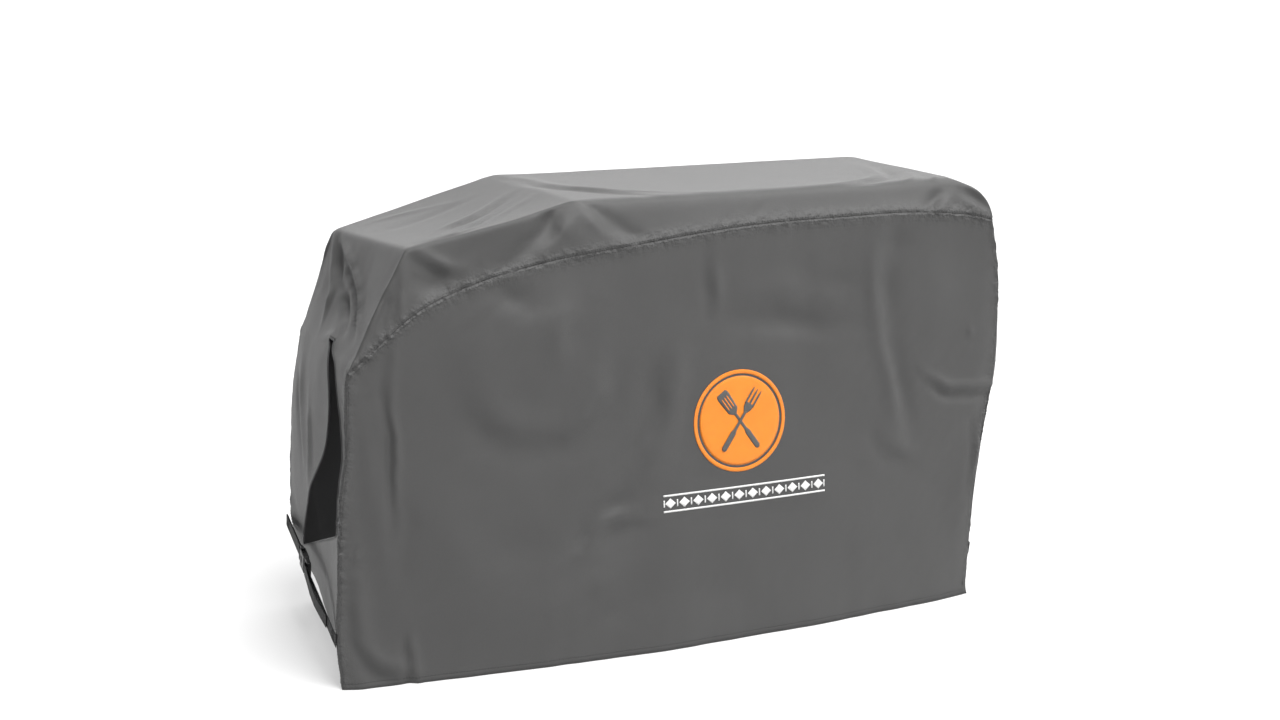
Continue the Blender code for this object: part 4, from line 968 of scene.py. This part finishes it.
def ribbon(bag, path, side, normal, half, top, bottom, across=6, cyclic=False, sharp=8.0, uv_turn=False):
    """A band along a path: half its width, and its height above and below the path at the middle."""
    path, side, normal = np.asarray(path, float), np.asarray(side, float), np.asarray(normal, float)
    n = len(path)
    half = np.broadcast_to(np.asarray(half, float), (n,))
    u = np.linspace(-1, 1, across + 1)
    h = np.sqrt(np.clip(1 - np.abs(u) ** sharp, 0, 1))
    mid = (top - bottom) / 2
    upper = [(u[i], mid + (top + bottom) / 2 * h[i]) for i in range(across + 1)]
    lower = [(u[i], mid - (top + bottom) / 2 * h[i]) for i in range(across - 1, 0, -1)]
    ringp = upper + lower
    m = len(ringp)
    verts, uv = np.empty((n, m, 3)), np.empty((n, m, 2))
    run = np.concatenate(([0.0], np.cumsum(np.linalg.norm(np.diff(path, axis=0), axis=1))))
    for k, (uu, hh) in enumerate(ringp):
        verts[:, k] = path + side * (uu * half)[:, None] + normal * hh
        uv[:, k, 0], uv[:, k, 1] = uu * half, run
    if uv_turn:
        uv = uv[..., ::-1]
    faces = []
    last = n if cyclic else n - 1
    for i in range(last):
        j = (i + 1) % n
        for k in range(m):
            l = (k + 1) % m
            faces.append([i * m + k, i * m + l, j * m + l, j * m + k])
    if not cyclic:
        faces.append(list(range(m))[::-1])
        faces.append([(n - 1) * m + k for k in range(m)])
    bag.add(verts.reshape(-1, 3), faces, uv.reshape(-1, 2))


def rope(bag, path, normal, radius, sides=8, cyclic=False):
    t = tangents(path, cyclic)
    side = unit_rows(np.cross(t, normal))
    up = unit_rows(np.cross(side, t))
    n = len(path)
    run = np.concatenate(([0.0], np.cumsum(np.linalg.norm(np.diff(path, axis=0), axis=1))))
    ang = np.arange(sides) * 2 * np.pi / sides
    verts = path[:, None] + radius * (side[:, None] * np.cos(ang)[None, :, None] + up[:, None] * np.sin(ang)[None, :, None])
    uv = np.stack(np.broadcast_arrays(ang[None, :] * radius, run[:, None]), -1)
    faces = []
    for i in range(n if cyclic else n - 1):
        j = (i + 1) % n
        for k in range(sides):
            l = (k + 1) % sides
            faces.append([i * sides + k, i * sides + l, j * sides + l, j * sides + k])
    if not cyclic:
        faces += [list(range(sides))[::-1], [(n - 1) * sides + k for k in range(sides)]]
    bag.add(verts.reshape(-1, 3), faces, uv.reshape(-1, 2))


def dash(bag, p, q, n, radius):
    """One stitch: a short thread whose ends dive into the cloth."""
    p, q, n = np.asarray(p), np.asarray(q), np.asarray(n)
    d = q - p
    t = d / max(float(np.linalg.norm(d)), 1e-9)
    s = np.cross(t, n)
    s = s / max(float(np.linalg.norm(s)), 1e-9)
    verts, uv = [p - n * radius], [(0.0, 0.0)]
    for f in (0.14, 0.5, 0.86):
        c = p + d * f + n * radius * (0.75 if f == 0.5 else 0.45)
        for k in range(5):
            a = 2 * math.pi * k / 5
            verts.append(c + radius * (s * math.cos(a) + n * math.sin(a)))
            uv.append((k * radius, f * 0.005))
    verts.append(q - n * radius)
    uv.append((0.0, 0.005))
    faces = []
    for k in range(5):
        l = (k + 1) % 5
        faces.append([0, 1 + k, 1 + l])
        for r in (0, 5):
            faces.append([1 + r + k, 6 + r + k, 6 + r + l, 1 + r + l])
        faces.append([11 + k, 16, 11 + l])
    bag.add(verts, faces, uv)


# ------------------------------------------------------------------ materials of the trims
def mnode(nt, op, a, b=None):
    n = nt.nodes.new("ShaderNodeMath")
    n.operation = op
    for k, v in enumerate((a, b)):
        if v is None:
            continue
        if isinstance(v, (int, float)):
            n.inputs[k].default_value = v
        else:
            nt.links.new(v, n.inputs[k])
    return n.outputs[0]


def uv_parts(nt):
    c = nt.nodes.new("ShaderNodeUVMap")
    c.uv_map = "weave"
    sep = nt.nodes.new("ShaderNodeSeparateXYZ")
    nt.links.new(c.outputs["UV"], sep.inputs[0])
    return sep.outputs[0], sep.outputs[1]


def ramp_between(nt, fac, lo, hi, p0=0.0, p1=1.0):
    r = nt.nodes.new("ShaderNodeValToRGB")
    e = r.color_ramp.elements
    e[0].position, e[1].position = p0, p1
    e[0].color, e[1].color = (*lo, 1), (*hi, 1)
    nt.links.new(fac, r.inputs["Fac"])
    return r.outputs["Color"]


def bump_of(nt, height, distance, strength, below=None):
    n = nt.nodes.new("ShaderNodeBump")
    n.inputs["Strength"].default_value = strength
    n.inputs["Distance"].default_value = distance
    nt.links.new(height, n.inputs["Height"])
    if below is not None:
        nt.links.new(below, n.inputs["Normal"])
    return n.outputs["Normal"]


def noise_of(nt, scale, detail=2.0):
    c = nt.nodes.new("ShaderNodeTexCoord")
    n = nt.nodes.new("ShaderNodeTexNoise")
    n.inputs["Scale"].default_value = scale
    n.inputs["Detail"].default_value = detail
    nt.links.new(c.outputs["Object"], n.inputs["Vector"])
    return n.outputs["Fac"]


def thread_material(name, colour, pitch=0.0007, stitch=0.0045, rough=0.45):
    """Satin stitch: threads side by side, each dipping into the cloth at its ends."""
    m, nt, b = nodes_of(name)
    b.inputs["Roughness"].default_value = rough
    b.inputs["Specular IOR Level"].default_value = 0.40
    b.inputs["Sheen Weight"].default_value = 0.10
    u, v = uv_parts(nt)
    t = mnode(nt, "DIVIDE", u, pitch)
    ridge = mnode(nt, "ABSOLUTE", mnode(nt, "SINE", mnode(nt, "MULTIPLY", t, math.pi)))
    lane = mnode(nt, "FLOOR", t)
    f = mnode(nt, "FRACT", mnode(nt, "ADD", mnode(nt, "DIVIDE", v, stitch), mnode(nt, "MULTIPLY", lane, 0.37)))
    ends = mnode(nt, "MINIMUM", mnode(nt, "MULTIPLY", mnode(nt, "MINIMUM", f, mnode(nt, "SUBTRACT", 1.0, f)), 9.0), 1.0)
    h = mnode(nt, "MULTIPLY", ridge, ends)
    # The colour is painted shade: darker in the grooves between threads and where they dip into the cloth, plus a
    # little random tone.
    groove_shade_and_tone = mnode(nt, "ADD", mnode(nt, "MULTIPLY", h, 0.8), mnode(nt, "MULTIPLY", noise_of(nt, 60.0), 0.25))
    nt.links.new(ramp_between(nt, groove_shade_and_tone, [c * 0.50 for c in colour], [min(1.0, c * 1.12) for c in colour], 0.05, 0.95), b.inputs["Base Color"])
    nt.links.new(bump_of(nt, h, 0.00030, 0.7), b.inputs["Normal"])
    return m


def webbing_material(name, colour):
    """Woven strap: lengthwise ribs crossed by a fine twill."""
    m, nt, b = nodes_of(name)
    b.inputs["Roughness"].default_value = 0.62
    b.inputs["Specular IOR Level"].default_value = 0.22
    b.inputs["Sheen Weight"].default_value = 0.03
    b.inputs["Sheen Roughness"].default_value = 0.35
    u, v = uv_parts(nt)
    rib = mnode(nt, "ABSOLUTE", mnode(nt, "SINE", mnode(nt, "MULTIPLY", u, math.pi / 0.0019)))
    lane = mnode(nt, "FLOOR", mnode(nt, "DIVIDE", u, 0.0019))
    slant = mnode(nt, "ADD", mnode(nt, "MULTIPLY", v, math.pi / 0.0011), mnode(nt, "MULTIPLY", lane, math.pi / 2))
    twill = mnode(nt, "ABSOLUTE", mnode(nt, "SINE", slant))
    h = mnode(nt, "ADD", mnode(nt, "MULTIPLY", rib, 0.6), mnode(nt, "MULTIPLY", mnode(nt, "MULTIPLY", rib, twill), 0.4))
    # The colour is painted shade and light: darker in the grooves of the ribs and twill, lighter on the rib tops, plus
    # random tone.
    rib_shade_and_tone = mnode(nt, "ADD", mnode(nt, "MULTIPLY", h, 0.6), mnode(nt, "MULTIPLY", noise_of(nt, 25.0), 0.4))
    nt.links.new(ramp_between(nt, rib_shade_and_tone, [c * 0.45 for c in colour], [c * 1.35 for c in colour], 0.1, 0.95), b.inputs["Base Color"])
    nt.links.new(bump_of(nt, h, 0.00035, 0.8), b.inputs["Normal"])
    return m


def plastic_material(name, colour):
    """Moulded plastic: fine spark texture, with tone and roughness that vary in soft clouds."""
    m, nt, b = nodes_of(name)
    b.inputs["Specular IOR Level"].default_value = 0.50
    grain = noise_of(nt, 1400.0, 2.0)
    cloud = noise_of(nt, 70.0, 3.0)
    rough = nt.nodes.new("ShaderNodeMapRange")
    rough.inputs["To Min"].default_value = 0.34
    rough.inputs["To Max"].default_value = 0.52
    nt.links.new(cloud, rough.inputs["Value"])
    nt.links.new(rough.outputs["Result"], b.inputs["Roughness"])
    nt.links.new(ramp_between(nt, cloud, [c * 0.75 for c in colour], [c * 1.35 for c in colour], 0.2, 0.8), b.inputs["Base Color"])
    nt.links.new(bump_of(nt, grain, 0.00006, 0.5), b.inputs["Normal"])
    return m


orange_thread = thread_material("thread_orange", (0.86, 0.245, 0.012))
white_thread = thread_material("thread_white", (0.80, 0.80, 0.79), rough=0.5)
grey_thread = thread_material("thread_grey", (0.085, 0.083, 0.081), rough=0.5)
seam_thread = thread_material("thread_seam", (0.028, 0.028, 0.029), pitch=0.0004, rough=0.55)
tape = cloth_material("binding_tape", (0.030, 0.030, 0.031), rough=0.55, weave=0.0005)
webbing = webbing_material("webbing_black", (0.010, 0.010, 0.0105))
plastic = plastic_material("buckle_black", (0.014, 0.014, 0.0145))

# ------------------------------------------------------------------ seams, hem and vent rims
SHELL = BVHTree.FromPolygons([Vector(p) for p in P.tolist()], [list(dict.fromkeys(f)) for f in ALLQ.tolist() if len(set(f)) > 2])


def on_cloth(p):
    loc, n, i, d = SHELL.find_nearest(Vector(p))
    return np.array(loc), np.array(n)


def grid_ids(name):
    g = grids[name]
    return weld[base[name] + np.arange(g.shape[0] * g.shape[1])].reshape(g.shape[:2])


ID_STRIP, ID_FRONT, ID_BACK = grid_ids("strip"), grid_ids("front"), grid_ids("back")
front_ids = np.concatenate((ID_STRIP[:K0, 0], ID_FRONT[-1], ID_STRIP[K1 + 1:, 0]))
back_ids = np.concatenate((ID_STRIP[:K0, NJ - 1], ID_BACK[-1], ID_STRIP[K1 + 1:, NJ - 1]))
hem_ids = np.concatenate((ID_FRONT[0], ID_STRIP[-1, 1:], ID_BACK[0][::-1][1:], ID_STRIP[0][::-1][1:-1]))


def stitch_line(bag, path, offset, cyclic=False, step=0.0066, length=0.0047, radius=0.00045, up=None):
    pts = resample(path, step, cyclic)
    t = tangents(pts, cyclic)
    for p, d in zip(pts, t):
        at, n = on_cloth(p)
        s = np.cross(n, d)
        if up is not None and float(np.dot(s, up)) < 0:
            s = -s
        s = s / max(float(np.linalg.norm(s)), 1e-9)
        a, na = on_cloth(p + s * offset - d * length / 2)
        b, nb = on_cloth(p + s * offset + d * length / 2)
        dash(bag, a, b, na, radius)


def normals_along(ids):
    return unit_rows(NRM[ids])


seam_stitches = Bag()
for ids in (front_ids, back_ids):
    path = P[ids]
    path = path[(path[:, 2] > 0.012)]
    for side in (-0.0058, 0.0058):
        stitch_line(seam_stitches, path, side)
seam_stitch_ob = seam_stitches.piece("seam_stitches", seam_thread)

hem_stitches = Bag()
stitch_line(hem_stitches, P[hem_ids], 0.0130, cyclic=True, up=np.array((0, 0, 1.0)))
hem_stitch_ob = hem_stitches.piece("hem_stitches", seam_thread)

hem = Bag()
loop = resample(P[hem_ids], 0.010, True)
here, nn = [], []
for p in loop:
    q, n = on_cloth(p + np.array((0, 0, 0.0070)))
    here.append(q)
    nn.append(n)
nn = np.array(nn)
nn = unit_rows(nn + np.roll(nn, 1, 0) + np.roll(nn, -1, 0))
here = np.array(here) - nn * (CLOTH + 0.0011)
here[:, 2] = 0.0072
upward = np.zeros_like(here)
upward[:, 2] = 1.0
ribbon(hem, here, upward, nn, 0.0068, 0.0005, 0.0005, across=4, cyclic=True)
hem_ob = hem.piece("hem_fold", cloth_in)


def bound_seam(name, ids, node):
    keep = P[ids][:, 2] > 0.020
    path, n = P[ids][keep], normals_along(ids)[keep]
    for _ in range(3):
        n[1:-1] = unit_rows(n[:-2] + n[1:-1] + n[2:])
    t = tangents(path)
    inward = unit_rows(-n + t * np.einsum("ij,ij->i", n, t)[:, None])
    face = unit_rows(np.cross(t, inward))
    wave = np.array([noise.noise((float(k) * 0.35, 2.0, 0.0)) for k in range(len(path))])
    bag = Bag()
    ribbon(bag, path + inward * (CLOTH + 0.0070) + face * (0.0012 * wave)[:, None], inward, face, 0.0052, 0.0007, 0.0007, across=6)
    ob = bag.piece(name, tape)
    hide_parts(node)
    return ob


bound_seam("front_seam_tape", front_ids, "front_seam_binding")
bound_seam("back_seam_tape", back_ids, "back_seam_binding")


def vent_rim(name, first, last, node):
    r0, r1, c0, c1 = row_at[first], row_at[last], N_COL, 4 * N_COL
    ring = [(r, c0) for r in range(r0, r1)] + [(r1, c) for c in range(c0, c1)] + [(r, c1) for r in range(r1, r0, -1)] + [(r0, c) for c in range(c1, c0, -1)]
    ids = np.array([ID_STRIP[r, c] for r, c in ring])
    path = P[ids].copy()
    for _ in range(2):
        path = (np.roll(path, 1, 0) + 2 * path + np.roll(path, -1, 0)) / 4
    n = unit_rows(NRM[ids])
    bag = Bag()
    rope(bag, path - n * CLOTH / 2, n, 0.0019, 10, True)
    ob = bag.piece(name, tape)
    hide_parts(node)
    return ob


vent_rim("left_vent_rim", 3, 8, "left_vent_piping")
vent_rim("right_vent_rim", ROW_TR + 1, ROW_TR + 5, "right_vent_piping")

# ------------------------------------------------------------------ embroidery
FRONT_BVH = BVHTree.FromPolygons([Vector(p) for p in P.tolist()], Q["front"].tolist())


def on_panel(x, z):
    loc, n, i, d = FRONT_BVH.ray_cast(Vector((x, -1.0, z)), Vector((0, 1, 0)))
    n = np.array(n)
    if n[1] > 0:
        n = -n
    return np.array(loc), n


def sewn(bag, line, half, height, lift=0.0, across=6, cyclic=False, sharp=3.0, uv_turn=True):
    """A satin-stitched band on the front panel; line holds (x, z) points."""
    pts, nn = [], []
    for x, z in line:
        p, n = on_panel(x, z)
        pts.append(p)
        nn.append(n)
    pts, nn = np.array(pts), np.array(nn)
    t = tangents(pts, cyclic)
    side = unit_rows(np.cross(nn, t))
    ribbon(bag, pts + nn * lift, side, nn, half, height, 0.0004, across=across, cyclic=cyclic, sharp=sharp, uv_turn=uv_turn)


RINGS, SEG = 16, 96
disc_r = BADGE_R - 0.0125
verts, uv, faces = [], [], []
p, n = on_panel(BADGE_X, BADGE_Z)
verts.append(p + n * 0.0016)
uv.append((BADGE_X, BADGE_Z))
for k in range(1, RINGS + 1):
    r = disc_r * k / RINGS
    lift = 0.0016 * math.sqrt(max(0.0, 1 - (k / RINGS) ** 14)) - (0.0003 if k == RINGS else 0.0)
    for i in range(SEG):
        a = 2 * math.pi * i / SEG
        x, z = BADGE_X + r * math.cos(a), BADGE_Z + r * math.sin(a)
        p, n = on_panel(x, z)
        verts.append(p + n * lift)
        uv.append((x * 0.8 + z * 0.6, -x * 0.6 + z * 0.8))
for i in range(SEG):
    j = (i + 1) % SEG
    faces.append([0, 1 + i, 1 + j])
    for k in range(RINGS - 1):
        o = 1 + k * SEG
        faces.append([o + i, o + SEG + i, o + SEG + j, o + j])
faces.append([1 + (RINGS - 1) * SEG + i for i in range(SEG)][::-1])
disc = Bag()
disc.add(verts, faces, uv)
disc_ob = disc.piece("badge_disc_sewn", orange_thread)
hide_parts("badge_disc")

ring_bag = Bag()
ring_r = BADGE_R - 0.0047
sewn(ring_bag, [(BADGE_X + ring_r * math.cos(2 * math.pi * i / 120), BADGE_Z + ring_r * math.sin(2 * math.pi * i / 120)) for i in range(120)], 0.0044, 0.0016, cyclic=True)
ring_ob = ring_bag.piece("badge_ring_sewn", orange_thread)
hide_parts("badge_ring")


def tool_line(angle, u0, u1, v=0.0, n=16):
    ca, sa = math.cos(angle), math.sin(angle)
    return [(BADGE_X + u * ca - v * sa, BADGE_Z + u * sa + v * ca) for u in np.linspace(u0, u1, n)]


def widths(points, u0, u1, n=16):
    return np.interp(np.linspace(u0, u1, n), [p[0] for p in points], [p[1] for p in points])


turner = math.radians(125)
bag = Bag()
sewn(bag, tool_line(turner, -0.074, 0.024, n=24), widths(((-0.074, 0.003), (-0.070, 0.0062), (-0.030, 0.0062), (-0.022, 0.0034), (0.024, 0.0032)), -0.074, 0.024, 24), 0.0010, 0.0014)
sewn(bag, tool_line(turner, 0.019, 0.076, n=24), widths(((0.019, 0.0040), (0.028, 0.0125), (0.066, 0.0150), (0.073, 0.0140), (0.076, 0.0110)), 0.019, 0.076, 24), 0.0011, 0.0015, across=10)
turner_ob = bag.piece("badge_turner_sewn", grey_thread)
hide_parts("badge_tool_left")
slots = Bag()
for v in (-0.0068, 0.0, 0.0068):
    sewn(slots, tool_line(turner, 0.034, 0.064, v, 10), widths(((0.034, 0.0004), (0.037, 0.0013), (0.061, 0.0013), (0.064, 0.0004)), 0.034, 0.064, 10), 0.0009, 0.0025, across=4)
slots_ob = slots.piece("badge_turner_slots", orange_thread)

fork = math.radians(55)
bag = Bag()
sewn(bag, tool_line(fork, -0.074, 0.024, n=24), widths(((-0.074, 0.003), (-0.070, 0.0062), (-0.030, 0.0062), (-0.022, 0.0034), (0.024, 0.0032)), -0.074, 0.024, 24), 0.0012, 0.0024)
sewn(bag, tool_line(fork, 0.020, 0.042, n=12), widths(((0.020, 0.0036), (0.030, 0.0095), (0.042, 0.0118)), 0.020, 0.042, 12), 0.0012, 0.0018, across=8)
for v in (-0.0095, 0.0, 0.0095):
    sewn(bag, tool_line(fork, 0.038, 0.077, v, 14), widths(((0.038, 0.0024), (0.068, 0.0022), (0.077, 0.0006)), 0.038, 0.077, 14), 0.0011, 0.0018, across=4)
fork_ob = bag.piece("badge_fork_sewn", grey_thread)
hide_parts("badge_tool_right")

band = Bag()
for dz in (-0.0168, 0.0168):
    sewn(band, [(x, BAND_Z + dz) for x in np.linspace(BAND_X0, BAND_X1, 80)], 0.0021, 0.0012, across=4)
COUNT = 12
pitch = (BAND_X1 - BAND_X0) / COUNT
for i in range(COUNT):
    x = BAND_X0 + pitch * (i + 0.5)
    sewn(band, [(x + d, BAND_Z) for d in np.linspace(-0.0120, 0.0120, 13)], widths(((-0.012, 0.0003), (0.0, 0.0112), (0.012, 0.0003)), -0.012, 0.012, 13), 0.0013, across=8, uv_turn=False)
for i in range(COUNT + 1):
    x = min(max(BAND_X0 + pitch * i, BAND_X0 + 0.0018), BAND_X1 - 0.0018)
    sewn(band, [(x, BAND_Z + d) for d in np.linspace(-0.0075, 0.0075, 6)], 0.0017, 0.0012, across=4)
band_ob = band.piece("trim_band_sewn", white_thread)
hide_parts("trim_band")

# ------------------------------------------------------------------ straps and buckles
WEB_HALF = 0.0150
for tag, rear, front, outward in (
        ("left", (-0.7330, 0.262, 0.200), (-0.7690, -0.246, 0.104), -1.0),
        ("right", (0.7230, 0.262, 0.200), (0.7090, -0.246, 0.104), 1.0)):
    rear, front = np.array(rear), np.array(front)
    reach = float(np.linalg.norm(front - rear))
    ax = (front - rear) / reach
    nx = np.array((outward, 0.0, 0.0))
    nx = nx - ax * float(nx @ ax)
    nx /= np.linalg.norm(nx)
    wx = np.cross(nx, ax)
    org = rear + ax * 0.206

    def at(a, n, w=0.0):
        return org + ax * a + nx * n + wx * w

    def strap(name, pts, thick, body, node, steps_n, twist=None):
        pts = np.array(pts, float)
        cum = np.concatenate(([0.0], np.cumsum(np.linalg.norm(np.diff(pts, axis=0), axis=1))))
        fine_pts = np.stack([np.interp(np.linspace(0, cum[-1], steps_n), cum, pts[:, c]) for c in (0, 1)], -1)
        for _ in range(3):
            fine_pts[1:-1] = (fine_pts[:-2] + 2 * fine_pts[1:-1] + fine_pts[2:]) / 4
        path = np.array([at(a, n) for a, n in fine_pts])
        t = tangents(path)
        side = np.broadcast_to(wx, path.shape).copy()
        if twist is not None:
            ang = np.array([twist(i / (steps_n - 1)) for i in range(steps_n)])[:, None]
            side = side * np.cos(ang) + np.cross(t, side) * np.sin(ang)
        nrm = unit_rows(np.cross(t, side))
        bag = Bag()
        ribbon(bag, path, side, nrm, WEB_HALF, thick / 2, thick / 2, across=10, sharp=10.0)
        ob = bag.piece(name, webbing, body)
        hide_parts(node)
        return ob

    far = reach - 0.208
    front_strap = strap(tag + "_front_strap", [(0.0235, 0.0012), (0.0236, 0.0030), (0.0250, 0.0050), (0.0300, 0.0056), (0.060, 0.0058), (0.15, 0.0052), (0.25, 0.0056), (far, 0.0055), (far + 0.016, 0.0050)],
                        0.0014, "cover", tag + "_front_webbing", 90)
    strap(tag + "_rear_strap", [(-0.2180, 0.0009), (-0.150, 0.0010), (-0.075, 0.0010), (-0.0665, 0.0018), (-0.0600, 0.0040), (-0.0550, 0.0045), (-0.0512, 0.0042), (-0.0490, 0.0022),
                                (-0.0490, -0.0022), (-0.0512, -0.0042), (-0.0550, -0.0045), (-0.0600, -0.0040), (-0.0665, -0.0018), (-0.075, -0.0010), (-0.150, -0.0010), (-0.2180, -0.0009)],
          0.0014, "cover", tag + "_rear_webbing", 220)
    strap(tag + "_strap_tail", [(0.0226, 0.0008), (0.0224, -0.0030), (0.0205, -0.0056), (0.0165, -0.0056), (0.0146, -0.0030), (0.0144, 0.0030), (0.0158, 0.0066), (0.0200, 0.0080), (0.0300, 0.0082),
                                (0.060, 0.0100), (0.100, 0.0128), (0.150, 0.0138), (0.200, 0.0112), (0.245, 0.0080)],
          0.0014, tag + "_plug", tag + "_webbing_tail", 200)

    # sewn ends: a box with a cross in it
    sewn_ends = Bag()
    for a0, a1, n0 in ((-0.2030, -0.1850, 0.0018), (far - 0.020, far - 0.003, 0.0064)):
        corners = [(a0, -0.0115), (a1, -0.0115), (a1, 0.0115), (a0, 0.0115), (a0, -0.0115), (a1, 0.0115), (a1, -0.0115), (a0, 0.0115)]
        for (pa, pw), (qa, qw) in zip(corners, corners[1:]):
            size = math.hypot(qa - pa, qw - pw)
            count = max(2, int(size / 0.0036))
            for k in range(count):
                f0, f1 = (k + 0.12) / count, (k + 0.88) / count
                dash(sewn_ends, at(pa + (qa - pa) * f0, n0, pw + (qw - pw) * f0), at(pa + (qa - pa) * f1, n0, pw + (qw - pw) * f1), nx, 0.0004)
    ends_ob = sewn_ends.piece(tag + "_strap_stitches", seam_thread)
    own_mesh(front_strap)

    # buckle halves and prongs: the frame's shapes with moulded edges, ribs and teeth
    def moulded(node, name, body, radius=0.00045):
        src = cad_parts[node]
        mesh = src.data.copy()
        mesh.name = name
        bm = bmesh.new()
        bm.from_mesh(mesh)
        bmesh.ops.dissolve_limit(bm, angle_limit=math.radians(1.0), verts=bm.verts, edges=bm.edges)
        bm.to_mesh(mesh)
        bm.free()
        mesh.materials.clear()
        mesh.materials.append(plastic)
        ob = bpy.data.objects.new(name, mesh)
        scene.collection.objects.link(ob)
        ob.matrix_world = src.matrix_world.copy()
        mod = ob.modifiers.new("moulded_edges", "BEVEL")
        mod.width = radius
        mod.segments = 2
        mod.limit_method = "ANGLE"
        mod.angle_limit = math.radians(40)
        mod.use_clamp_overlap = True
        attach(ob, body)
        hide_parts(node)
        return ob

    moulded(tag + "_buckle_socket", tag + "_socket_body", "cover")
    moulded(tag + "_buckle_plug", tag + "_plug_body", tag + "_plug")
    for word in ("upper", "lower"):
        moulded(tag + "_prong_" + word, tag + "_prong_" + word + "_moulded", tag + "_" + word + "_prong", 0.00035)

    grips = Bag()
    for face in (1.0, -1.0):
        for a0 in (-0.0335, -0.0290, -0.0245):                 # three raised arrows on each face of the socket
            for s in (1.0, -1.0):
                line = np.array([at(a0 + 0.0045 * (1 - k / 7), face * 0.0059, s * 0.0088 * k / 7) for k in range(8)])
                rope(grips, line, np.broadcast_to(nx * face, line.shape), 0.00075, 6)
        line = np.array([at(-0.0030, face * 0.0059, w) for w in np.linspace(-0.0165, 0.0165, 12)])
        rope(grips, line, np.broadcast_to(nx * face, line.shape), 0.0008, 6)
    grips.piece(tag + "_socket_ribs", plastic, "cover")
    teeth = Bag()
    for a0 in (0.0182, 0.0193, 0.0281, 0.0291):
        line = np.array([at(a0, -0.0042, w) for w in np.linspace(-0.0145, 0.0145, 12)])
        rope(teeth, line, np.broadcast_to(-nx, line.shape), 0.0003, 6)
    for a0 in (0.0035, 0.0060, 0.0085):
        line = np.array([at(a0, 0.0042, w) for w in np.linspace(-0.0130, 0.0130, 12)])
        rope(teeth, line, np.broadcast_to(nx, line.shape), 0.0006, 6)
    teeth.piece(tag + "_plug_teeth", plastic, tag + "_plug")


# ------------------------------------------------------------------ floor, light and camera
def stage_material():
    m, nt, b = nodes_of("floor")
    b.inputs["Base Color"].default_value = (0.36, 0.36, 0.36, 1)
    b.inputs["Emission Color"].default_value = (1.0, 1.0, 1.0, 1)
    b.inputs["Emission Strength"].default_value = 0.50
    b.inputs["Roughness"].default_value = 0.9
    b.inputs["Specular IOR Level"].default_value = 0.0
    return m


bm = bmesh.new()
bmesh.ops.create_grid(bm, x_segments=1, y_segments=1, size=60.0)
mesh = bpy.data.meshes.new("floor")
bm.to_mesh(mesh)
bm.free()
floor = bpy.data.objects.new("floor", mesh)
floor.location = (0, 0, -0.0002)
mesh.materials.append(stage_material())
scene.collection.objects.link(floor)

world = bpy.data.worlds.new("studio")
scene.world = world
world.use_nodes = True
wt = world.node_tree
bg = wt.nodes["Background"]
bg.inputs["Color"].default_value = (1.0, 1.0, 1.0, 1)
tc = wt.nodes.new("ShaderNodeTexCoord")
dot = wt.nodes.new("ShaderNodeVectorMath")
dot.operation = "DOT_PRODUCT"
wt.links.new(tc.outputs["Generated"], dot.inputs[0])
dot.inputs[1].default_value = (0.86, 0.45, 0.24)          # the studio is brighter behind and to the right
rng = wt.nodes.new("ShaderNodeMapRange")
rng.inputs["From Min"].default_value = 0.0
rng.inputs["From Max"].default_value = 0.85
rng.inputs["To Min"].default_value = 0.12
rng.inputs["To Max"].default_value = 2.4
wt.links.new(dot.outputs["Value"], rng.inputs["Value"])
wt.links.new(rng.outputs["Result"], bg.inputs["Strength"])

sun = bpy.data.lights.new("softbox", "SUN")
sun.energy = 4.8
sun.angle = math.radians(32)
sun_ob = bpy.data.objects.new("softbox", sun)
sun_ob.rotation_euler = Vector((-0.14, 0.45, -0.88)).to_track_quat("-Z", "Y").to_euler()
scene.collection.objects.link(sun_ob)

cam_data = bpy.data.cameras.new("camera")
cam_data.lens = 56.25
cam_data.sensor_width = 36.0
cam = bpy.data.objects.new("camera", cam_data)
psi, pitch = math.radians(24.305), math.radians(12.354)
forward = Vector((math.sin(psi) * math.cos(pitch), math.cos(psi) * math.cos(pitch), -math.sin(pitch)))
cam.location = (-1.774, -3.940, 1.500)
cam.rotation_euler = forward.to_track_quat("-Z", "Y").to_euler()
scene.collection.objects.link(cam)
scene.camera = cam
scene.view_settings.view_transform = "Standard"
